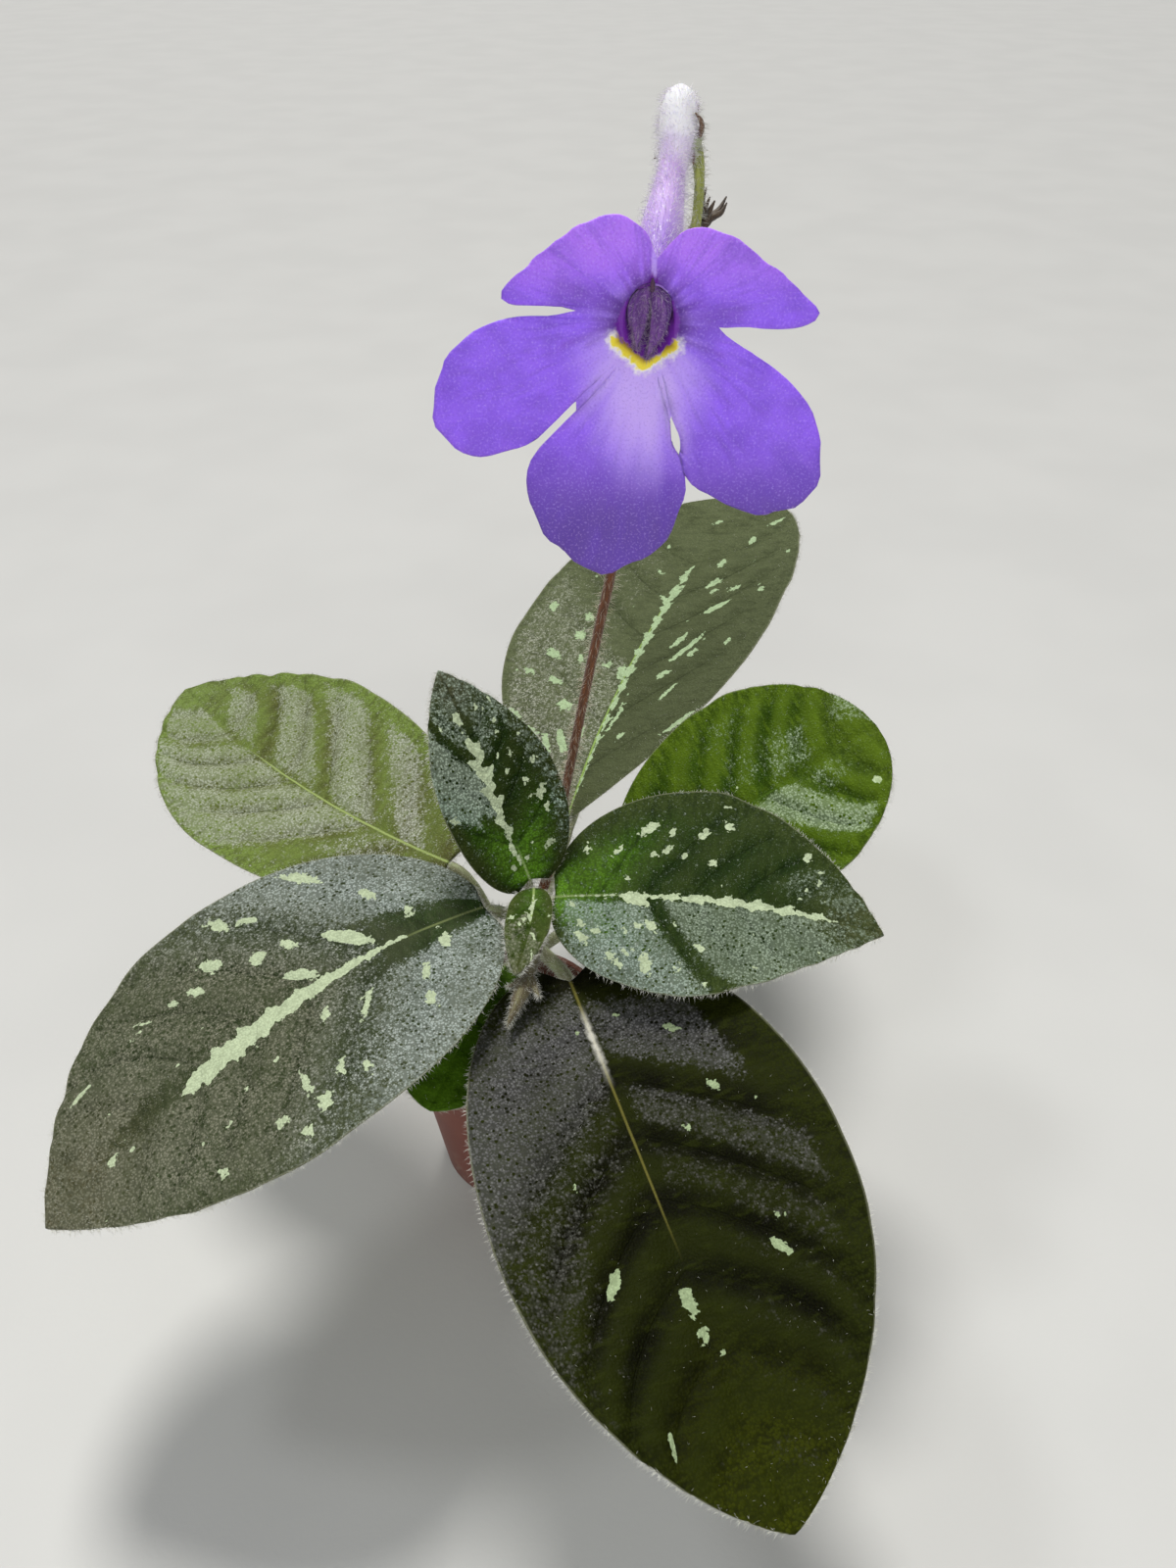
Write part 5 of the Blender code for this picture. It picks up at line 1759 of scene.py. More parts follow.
class Corolla:
    """The flower: hairy tube with a closed spur, spreading into five lobes."""

    LOBE_COLUMNS = 40
    TUBE_ROWS = 44
    LIMB_ROWS = 54
    PETAL = 0.5
    CREASES = (((184.6, 4.3), (193.0, 12.5)), ((190.0, 5.5), (198.0, 9.2)), ((334.0, 4.8), (337.0, 11.0)))
    DIMPLES = ((227.6, 14.6), (285.0, 11.6))
    FOLDS = ((5.8, 9.0), (159.9, 10.0))
    SLITS = ((285.2, 13.0, 19.6, 0.55),)
    SEED = 61

    def part_slits(self, flat: Array) -> Array:
        """Move flat places apart where two lobes leave a lens-shaped slit between them.

        Args:
            flat: Flat places in millimetres.

        Returns:
            The moved places.
        """
        for angle, start, end, half in self.SLITS:
            way = Limb.spot(angle, 1.0)
            run, off = flat @ way, flat @ np.array([-way[1], way[0]])
            middle = 0.5 * (start + end)
            push = half * soft_step(run, start, middle) * soft_step(run, end, middle)
            push = push * np.exp(-((off / 3.5) ** 2))
            flat = flat + (np.sign(off) * push)[:, None] * np.array([-way[1], way[0]])
        return flat

    def outline(self, knots: Sequence[tuple[float, float]]) -> Array:
        """Give points spaced evenly along one lobe's edge, face on, in millimetres.

        Args:
            knots: Angles and distances that the edge goes through.

        Returns:
            The points.
        """
        flat = np.array([Limb.spot(angle, reach) for angle, reach in knots])
        fine = smooth_line(flat, 400)
        run = np.concatenate([[0.0], np.cumsum(np.linalg.norm(np.diff(fine, axis=0), axis=1))])
        places = np.linspace(0.0, run[-1], self.LOBE_COLUMNS + 1)
        even = np.stack([np.interp(places, run, fine[:, axis]) for axis in range(2)], axis=-1)
        share = np.linspace(0.0, 1.0, self.LOBE_COLUMNS + 1)
        wave = np.sin(share * 39.0) + 0.7 * np.sin(share * 71.0 + 1.0)
        frill = 1.0 + 0.008 * np.sin(math.pi * share) * wave
        return even * frill[:, None]

    def near_segment(self, flat: Array, first: Array, last: Array) -> Array:
        """Give the distance of flat places from a straight segment.

        Args:
            flat: Flat places.
            first: The segment's start.
            last: Its end.

        Returns:
            The distances.
        """
        way = last - first
        share = np.clip(((flat - first) @ way) / (way @ way), 0.0, 1.0)
        return np.linalg.norm(flat - (first + share[..., None] * way), axis=-1)

    def beyond_hollow(self, flat: Array) -> Array:
        """Give how far in millimetres flat places lie outside the dark throat, less than 0 inside it.

        Args:
            flat: Flat places.

        Returns:
            The distances.
        """
        corners = np.array(Limb.HOLLOW)
        best = np.full(flat.shape[:-1], -FAR)
        for first, last in zip(corners, np.roll(corners, -1, axis=0)):
            way = (last - first) / np.linalg.norm(last - first)
            best = np.maximum(best, (flat - first) @ np.array([way[1], -way[0]]))
        return np.minimum(best, FAR)

    def fold(self, flat: Array) -> Array:
        """Give how deep in a fold, crease or dimple each flat place lies, from 0 to 1.

        Args:
            flat: Flat places.

        Returns:
            The depths.
        """
        deep = np.zeros(flat.shape[:-1])
        for first, last in self.CREASES:
            off = self.near_segment(flat, Limb.spot(*first), Limb.spot(*last))
            deep = np.maximum(deep, 0.35 * np.exp(-((off / 0.55) ** 2)))
        for angle, reach in self.DIMPLES:
            off = np.linalg.norm(flat - Limb.spot(angle, reach), axis=-1)
            deep = np.maximum(deep, 0.3 * np.exp(-((off / 1.2) ** 2)))
        for angle, reach in self.FOLDS:
            off = self.near_segment(flat, Limb.spot(angle, reach - 4.0), Limb.spot(angle, reach + 3.0))
            deep = np.maximum(deep, 0.4 * np.exp(-((off / 1.9) ** 2)))
        return deep

    def lift(self, flat: Array, lobe: Array, share: Array, out: Array) -> Array:
        """Give how far in millimetres the limb stands out of its plane.

        Args:
            flat: Flat places in millimetres.
            lobe: Which lobe each is on.
            share: Place along the lobe's edge, from 0 to 1.
            out: Place from the mouth at 0 to the edge at 1.

        Returns:
            The heights.
        """
        reach = np.linalg.norm(flat, axis=-1)
        bends = np.array(Limb.REFLEX)
        mean = 0.5 * (bends[lobe] + np.where(share < 0.5, bends[lobe - 1], bends[(lobe + 1) % len(bends)]))
        reflex = mean + (bends[lobe] - mean) * soft_step(np.minimum(share, 1.0 - share), 0.0, 0.25)
        funnel = -Limb.FUNNEL * np.exp(-np.maximum(reach - 4.5, 0.0) / 2.2)
        crown = 0.9 * np.sin(math.pi * share) ** 2 * (reach / 30.0)
        angle = np.arctan2(flat[..., 1], flat[..., 0])
        ripple = 0.22 * (reach / 30.0) ** 2 * (np.sin(angle * 23.0) + np.sin(angle * 37.0 + reach * 0.25))
        veins = 0.05 * np.sin(angle * 90.0 + 2.0 * np.sin(reach * 0.4)) * soft_step(reach, 6.0, 12.0)
        curl = -0.45 * out ** 8 * soft_step(np.minimum(share, 1.0 - share), 0.05, 0.2)
        return funnel - reflex * (reach / 34.0) ** 2 + crown + ripple + veins + curl - 0.4 * self.fold(flat)

    def columns(self) -> tuple[Array, Array, Array, Array]:
        """Give the columns that run along the tube and out to the edge, the first one again at the end.

        Returns:
            For each its angle in the tube, its end on the edge, its lobe and its place along that lobe.
        """
        rows = []
        for lobe, knots in enumerate(Limb.LOBES):
            outline = self.outline(knots)
            for column in range(self.LOBE_COLUMNS):
                share = column / self.LOBE_COLUMNS
                angle = knots[0][0] + (knots[-1][0] - knots[0][0]) * share
                rows.append((angle, outline[column], lobe, share))
        angles, edges, lobes, shares = (np.array(part) for part in zip(*rows, rows[0]))
        return np.radians(angles), edges, lobes, shares

    def build(self) -> list[Piece]:
        """Make the corolla and its hairs.

        Returns:
            The pieces.
        """
        across, up, out = (np.array(axis) for axis in Limb.axes())
        turn, edges, lobes, shares = self.columns()
        ring = np.stack([np.cos(turn), np.sin(turn)], axis=-1)
        rows, flats, along = [], [], []
        for step in range(self.TUBE_ROWS):
            u = 0.9 * (step / (self.TUBE_ROWS - 1)) ** 1.15
            centre, side, rise, radius = Limb.section(u)
            ribs = 1.0 + 0.03 * np.cos(5 * turn) * u
            way = ring[:, :1] * np.array(side) + ring[:, 1:] * np.array(rise)
            rows.append(np.array(centre) + way * (radius * ribs)[:, None])
            flats.append(ring * 4.0)
            along.append(np.full(len(turn), u))
        mouth = ring * np.array([Limb.MOUTH_W, Limb.MOUTH_H])
        for step in range(self.LIMB_ROWS):
            share_out = (step / (self.LIMB_ROWS - 1)) ** 1.15
            flat = self.part_slits(mouth + (edges - mouth) * share_out)
            stand = self.lift(flat, lobes, shares, np.full(len(turn), share_out))
            place = across * flat[:, :1] + up * flat[:, 1:] + out * stand[:, None]
            rows.append(np.array(Limb.THROAT) + place * MM)
            flats.append(flat)
            along.append(np.full(len(turn), 1.0 + share_out))
        points, flat, along = np.array(rows), np.array(flats), np.array(along)
        on_limb = along >= 1.0
        knots = [Limb.spot(*knot) for knot in Limb.MARK]
        mark = np.minimum(self.near_segment(flat, knots[0], knots[1]),
                          self.near_segment(flat, knots[1], knots[2]))
        mark = np.where(on_limb, np.minimum(mark, FAR), FAR)
        depth = np.where(on_limb, self.beyond_hollow(flat), -FAR * (1.0 - along / 1.6))
        # The fold depth also sets the painted shade that the face lays in the folds, creases and dimples.
        maker = MeshMaker(("along", "mark", "mouth", "fold"))
        maker.sheet(points, flat, along=along, mark=mark, mouth=depth,
                    fold=np.where(on_limb, self.fold(flat), 0.0))
        tube = TubeSkin(srgb(250, 249, 250), srgb(208, 178, 232), srgb(150, 106, 206), srgb(158, 126, 226))
        # Its second and third colours are painted top light and painted bottom shade, its fifth painted
        # shade.
        face = PetalFront(srgb(154, 102, 248), srgb(184, 122, 255), srgb(100, 70, 164), srgb(108, 70, 192),
                          srgb(92, 52, 144), srgb(206, 178, 255), srgb(112, 34, 160),
                          srgb(254, 252, 246), srgb(248, 228, 70), srgb(130, 84, 34))
        piece = maker.done("corolla_skin", [tube.make("corolla_outer"), face.make("corolla_inner")],
                           ("corolla",), closed=False)
        wall = piece.modifiers.new("thickness", "SOLIDIFY")
        wall.thickness = self.PETAL * MM
        wall.offset = 0.0
        wall.material_offset = 1
        wall.material_offset_rim = 1
        return [piece, self.hairs()]

    def hairs(self) -> Piece:
        """Grow the tube's white hairs.

        Returns:
            The coat's piece.
        """
        coat = HairCoat(self.SEED)
        places = [Limb.section(u) for u in np.linspace(0.02, 0.8, 80)]
        bar = Bar([place[0] for place in places], [place[3] for place in places], 120)
        roots, out = bar.spots(coat.rng, 2600)
        coat.grow(roots, out, HairKind.TUBE)
        roots, out = bar.spots(coat.rng, 1500, 0.0, 0.45)
        coat.grow(roots, out, HairKind.TUBE, scale=0.8)
        return coat.build("corolla_hairs", TUBE_HAIR, "corolla_skin")


class Stamens:
    """Four hairy anthers joined in the throat, on thin filaments down the tube."""

    SEED = 71
    ANTHERS = ((-1.0, 1.7, 0.86), (1.0, 1.7, 1.0), (-1.35, 2.4, 0.76), (1.35, 2.4, 0.8))

    def build(self) -> list[Piece]:
        """Make the anthers, the filaments and their hairs.

        Returns:
            The pieces.
        """
        across, up, out = Limb.axes()
        middle = Limb.THROAT - up * (0.5 * MM) - out * (2.2 * MM)
        maker = MeshMaker()
        coat = HairCoat(self.SEED)
        steps = np.linspace(0.0, 1.0, 13)
        for side, depth, share in self.ANTHERS:
            swell = np.sin(math.pi * steps ** 0.82) ** 1.15
            x = 0.3 - 0.2 * steps - 1.2 * steps ** 2 + side * (0.12 + 1.2 * swell + 0.7 * steps ** 3)
            y = 5.0 - 10.0 * steps * share
            points = [Limb.THROAT + across * (a * MM) + up * (b * MM) - out * (depth * MM)
                      for a, b in zip(x, y)]
            anther = Bar(points, (0.16 + 1.3 * swell * (1.0 - 0.3 * steps)) * MM, 44, 22, ripple=0.08,
                         ribs=3)
            maker.sheet(*anther.skin())
            if depth < 2.0:
                roots, ways = anther.spots(coat.rng, 420, 0.03, 1.0)
                coat.grow(roots, ways, HairKind.ANTHER, pull=tuple(out * 0.3 - up * 0.9))
        for x in (-0.7, 0.7):
            for y in (-0.5, 0.5):
                points = []
                for u in (0.26, 0.36, 0.48, 0.6, 0.72, 0.84):
                    centre, side, rise, _ = Limb.section(u)
                    spread = 0.75 + 1.2 * max(u - 0.45, 0.0)
                    height = y * spread - 1.2 * max(u - 0.6, 0.0)
                    points.append(centre + side * (x * spread * MM) + rise * (height * MM))
                points.append(middle + across * (x * 1.1 * MM) + up * (y * 1.6 * MM))
                maker.sheet(*Bar(points, [0.24 * MM] * len(points), 40, 8).skin())
        skin = StalkSkin(srgb(114, 64, 146), srgb(78, 28, 112), srgb(168, 140, 186), 0.5)
        anthers = maker.done("anthers", [skin.make("anther_finish")], ("stamens",))
        return [anthers, coat.build("anther_hairs", FILAMENT_HAIR, "anther_skin")]


class Pistil:
    """Ovary in the tube's foot, a long style and its dark stigma at the top of the throat."""

    def build(self) -> list[Piece]:
        """Make the pistil.

        Returns:
            The piece.
        """
        across, up, out = Limb.axes()
        points, radii = [], []
        for u, radius in ((0.075, 0.5), (0.09, 0.9), (0.13, 1.3), (0.17, 1.1), (0.2, 0.5), (0.24, 0.24),
                          (0.36, 0.24), (0.5, 0.24), (0.64, 0.26)):
            points.append(Limb.line(u) + Limb.section(u)[2] * (1.3 * max(u - 0.45, 0.0) * MM))
            radii.append(radius * MM)
        points.append(Limb.line(0.8) + Limb.section(0.8)[2] * (1.8 * MM))
        radii.append(0.28 * MM)
        for rise, depth, radius in ((1.0, 4.4, 0.3), (3.2, 3.4, 0.3), (4.2, 1.6, 0.34), (4.7, 0.8, 0.36),
                                    (5.3, 0.7, 0.3), (5.8, 0.9, 0.1)):
            points.append(Limb.THROAT + across * (0.3 * MM) + up * (rise * MM) - out * (depth * MM))
            radii.append(radius * MM)
        maker = MeshMaker()
        maker.sheet(*Bar(points, radii, 110, 14, ripple=0.03).skin())
        skin = StalkSkin(srgb(44, 18, 40), srgb(84, 44, 78), srgb(120, 92, 124), 0.3)
        return [maker.done("pistil_body", [skin.make("pistil_finish")], ("pistil",))]


class FlowerStalk:
    """Long hairy stalk up to the node behind the flower, and the green one that bears the flower."""

    NODE = Vector((39.0, -14.0, 261.0)) * MM
    KNEE = Vector((16.1, 23.0, 118.0)) * MM
    CALYX_PLACE = 0.14
    TUBE_LENGTH = 43.0
    PEDUNCLE_SEED = 81
    PEDICEL_SEED = 83
    CALYX_SEED = 85
    WITHERED = ((4.6, 0.32), (3.4, 0.55), (4.0, 0.5), (2.8, 0.75), (3.6, 0.4))

    @classmethod
    def calyx_seat(cls) -> tuple[Vector, Vector]:
        """Give the calyx's centre behind the spur, and its direction away from the tube.

        Returns:
            Centre in metres, and direction.
        """
        centre, _, _, radius = Limb.section(cls.CALYX_PLACE)
        tangent = (Limb.line(cls.CALYX_PLACE + 0.01) - Limb.line(cls.CALYX_PLACE - 0.01)).normalized()
        away = Vector((0.62, 0.74, -0.26))
        away = (away - tangent * away.dot(tangent)).normalized()
        return centre + away * (radius + 0.55 * MM), away

    def peduncle(self) -> list[Piece]:
        """Make the long stalk and its hairs.

        Returns:
            The pieces.
        """
        root, stem_r = Stem.point(Stem.FLOWERING)
        out = Vector((0.45, 0.9, 0.0)).normalized()
        foot = root + out * (stem_r - 0.3 * MM)
        below = self.KNEE - Vector((1.6, -0.6, 10.0)) * MM
        points = bezier(foot, foot + out * (8.0 * MM), below, self.KNEE, 7)
        reach = self.NODE - self.KNEE
        for t in (0.1, 0.22, 0.36, 0.5, 0.64, 0.78, 0.9, 0.97, 1.0):
            bow = math.sin(math.pi * t) * 0.8 * MM
            points.append(self.KNEE + reach * t + Vector((-bow, bow, 0.0)))
        count = len(points)
        radii = [(1.35 - 0.42 * step / (count - 1)) * MM for step in range(count)]
        radii[-2] = 1.25 * MM
        radii[-1] = 1.05 * MM
        bar = Bar(points, radii, 240, 18, ripple=0.035)
        maker = MeshMaker()
        maker.sheet(*bar.skin())
        skin = StalkSkin(srgb(116, 62, 22), srgb(82, 42, 14), srgb(150, 112, 70), 0.2)
        stalk = maker.done("peduncle_body", [skin.make("peduncle_finish")], ("peduncle",))
        coat = HairCoat(self.PEDUNCLE_SEED)
        roots, out_ways = bar.spots(coat.rng, 2600, 0.0, 1.0)
        coat.grow(roots, out_ways, HairKind.STALK)
        return [stalk, coat.build("peduncle_hairs", HairSkin(srgb(226, 218, 196), srgb(196, 178, 150)),
                                  "peduncle_skin")]

    def pedicel(self) -> list[Piece]:
        """Make the flower's own green stalk and its hairs.

        Returns:
            The pieces.
        """
        seat, away = self.calyx_seat()
        way = (self.NODE - self.KNEE).normalized()
        end = seat + away * (1.5 * MM)
        points = bezier(self.NODE, self.NODE + way * (4.0 * MM), end + away * (2.2 * MM), end, 9)
        radii = [size * MM for size in (0.85, 0.8, 0.8, 0.8, 0.82, 0.88, 0.95, 1.05, 1.2)]
        bar = Bar(points, radii, 60, 16, ripple=0.04)
        maker = MeshMaker()
        maker.sheet(*bar.skin())
        skin = StalkSkin(srgb(164, 172, 84), srgb(132, 140, 62), srgb(206, 208, 160), 0.25)
        stalk = maker.done("pedicel_body", [skin.make("pedicel_finish")], ("pedicel",))
        coat = HairCoat(self.PEDICEL_SEED)
        roots, out = bar.spots(coat.rng, 420)
        coat.grow(roots, out, HairKind.STALK, scale=0.7)
        return [stalk, coat.build("pedicel_hairs", SILVER_HAIR, "pedicel_skin")]

    def calyx(self) -> list[Piece]:
        """Make the cup of narrow lobes that clasps the back of the spur.

        Returns:
            The pieces.
        """
        seat, away = self.calyx_seat()
        maker = MeshMaker()
        cup = Bar([seat + away * (1.7 * MM), seat + away * (0.9 * MM), seat], [1.25 * MM, 1.9 * MM, 1.8 * MM],
                  14, 20, ripple=0.03, ribs=5)
        maker.sheet(*cup.skin())
        coat = HairCoat(self.CALYX_SEED)
        green = StalkSkin(srgb(186, 198, 156), srgb(150, 158, 110), srgb(226, 228, 210), 0.5)
        body = maker.done("calyx_cup", [green.make("calyx_cup_finish")], ("calyx",))
        maker = MeshMaker()
        coat.grow(*cup.spots(coat.rng, 260), HairKind.STALK, scale=0.6)
        place = self.CALYX_PLACE
        tangent = (Limb.line(place + 0.01) - Limb.line(place - 0.01)).normalized()
        across = tangent.cross(away).normalized()
        hug = Limb.section(place)[3] + 1.2 * MM
        for angle, reach_share in ((100.0, 1.0), (172.0, 1.0), (20.0, 0.6), (245.0, 1.0), (300.0, 1.0)):
            run = math.cos(math.radians(angle))
            turn = math.sin(math.radians(angle))
            points = [seat + away * (0.75 * MM) + (tangent * run + across * turn) * (0.8 * MM)]
            for reach in (2.4 * reach_share, 3.8 * reach_share, 5.2 * reach_share, 6.6 * reach_share):
                spot = max(place + run * reach / self.TUBE_LENGTH, 0.03)
                bend = turn * reach * MM / hug
                points.append(Limb.line(spot) + (away * math.cos(bend) + across * math.sin(bend)) * hug)
            lobe = Bar(points, [size * MM for size in (0.5, 0.5, 0.4, 0.3, 0.1)], 26, 12, ripple=0.04,
                       ribs=2)
            maker.sheet(*lobe.skin())
            coat.grow(*lobe.spots(coat.rng, 70), HairKind.STALK, scale=0.45)
        brown = StalkSkin(srgb(118, 92, 66), srgb(92, 62, 46), srgb(176, 160, 134), 0.35)
        lobes = maker.done("calyx_lobes", [brown.make("calyx_lobe_finish")])
        return [body, lobes, coat.build("calyx_hairs", SILVER_HAIR, "calyx_skin")]

    def withered(self) -> list[Piece]:
        """Make the dried remains of an older flower beside the node.

        Returns:
            The pieces.
        """
        foot = self.NODE + Vector((1.2, 0.3, -0.1)) * MM
        aim = Vector((0.45, 0.25, 0.85)).normalized()
        side = aim.orthogonal().normalized()
        up = aim.cross(side)
        maker = MeshMaker()
        maker.sheet(*Bar([foot, foot + aim * (1.2 * MM), foot + aim * (2.2 * MM)],
                         [0.5 * MM, 0.95 * MM, 0.9 * MM], 14, 14, ripple=0.08, ribs=5).skin())
        for index, (length, lean) in enumerate(self.WITHERED):
            turn = TURN * index / len(self.WITHERED)
            outward = side * math.cos(turn) + up * math.sin(turn)
            start = foot + aim * (1.4 * MM) + outward * (0.35 * MM)
            tip = start + aim * (length * MM) + outward * (lean * length * MM)
            bend = start.lerp(tip, 0.55) + outward * (0.5 * MM)
            near = start.lerp(bend, 0.5) - outward * (0.15 * MM)
            maker.sheet(*Bar([start, near, bend, tip], [0.42 * MM, 0.5 * MM, 0.4 * MM, 0.1 * MM], 24, 10,
                             ripple=0.22, ribs=3).skin())
        skin = StalkSkin(srgb(72, 56, 34), srgb(40, 28, 18), srgb(130, 112, 84), 0.35)
        return [maker.done("withered_body", [skin.make("withered_finish")],
                           ("withered_calyx",))]

    def build(self) -> list[Piece]:
        """Make the stalks, the calyx and the withered flower."""
        return self.peduncle() + self.pedicel() + self.calyx() + self.withered()


class YoungBud:
    """Young flower stalk in front of the crown, with two bracts and a pointed bud."""

    KNEE = Vector((11.0, -9.1, 99.5)) * MM
    NODE = Vector((7.9, -24.1, 98.6)) * MM
    TIP = Vector((3.4, -39.5, 98.0)) * MM
    SEED = 91

    def build(self) -> list[Piece]:
        """Make the stalk, the bud, the bracts and their hairs.

        Returns:
            The pieces.
        """
        root, stem_r = Stem.point(Stem.FLOWERING)
        out = Vector((0.35, -0.93, 0.0)).normalized()
        foot = root + out * (stem_r - 0.3 * MM)
        above = self.KNEE + Vector((1.0, 3.5, 0.4)) * MM
        stalk = bezier(foot, foot + out * (3.0 * MM), above, self.KNEE, 4)
        stalk += [self.KNEE.lerp(self.NODE, 0.35), self.KNEE.lerp(self.NODE, 0.7), self.NODE]
        maker = MeshMaker()
        coat = HairCoat(self.SEED)
        bar = Bar(stalk, [1.2 * MM] * 5 + [1.25 * MM, 1.4 * MM], 50, 16, ripple=0.04)
        maker.sheet(*bar.skin())
        coat.grow(*bar.spots(coat.rng, 520), HairKind.BUD)
        aim = (self.TIP - self.NODE).normalized()
        places = [self.NODE.lerp(self.TIP, step / 8) for step in range(9)]
        radii = [size * MM for size in (0.9, 1.6, 1.95, 1.9, 1.65, 1.3, 0.95, 0.55, 0.12)]
        bud = Bar(places, radii, 44, 20, ripple=0.05, ribs=5)
        maker.sheet(*bud.skin())
        coat.grow(*bud.spots(coat.rng, 420), HairKind.BUD, pull=tuple(aim * 0.5), scale=0.85)
        across = Vector((-aim.y, aim.x, 0.0))
        for turn, length in ((35.0, 8.5), (-30.0, 7.0)):
            angle = math.radians(turn)
            way = aim * math.cos(angle) + across * math.sin(angle) + Vector((0.0, 0.0, 0.1))
            points = [self.NODE - aim * (0.4 * MM), self.NODE + way * (0.4 * length * MM),
                      self.NODE + way * (0.75 * length * MM),
                      self.NODE + way * (length * MM) + Vector((0, 0, 0.8)) * MM]
            bract = Bar(points, [0.9 * MM, 0.98 * MM, 0.62 * MM, 0.12 * MM], 30, 14, ripple=0.06, ribs=2)
            maker.sheet(*bract.skin())
            coat.grow(*bract.spots(coat.rng, 180), HairKind.BUD, pull=tuple(way * 0.4), scale=0.8)
        skin = StalkSkin(srgb(98, 94, 56), srgb(74, 62, 38), srgb(156, 152, 118), 0.35)
        body = maker.done("young_bud_body", [skin.make("bud_finish")], ("young_bud",))
        return [body, coat.build("young_bud_hairs", SILVER_HAIR, "bud_skin")]


def marks(kind: type, *rows: tuple[float, ...]) -> tuple:
    """Make a mark of one kind from each row of its numbers."""
    return tuple(kind(*row) for row in rows)


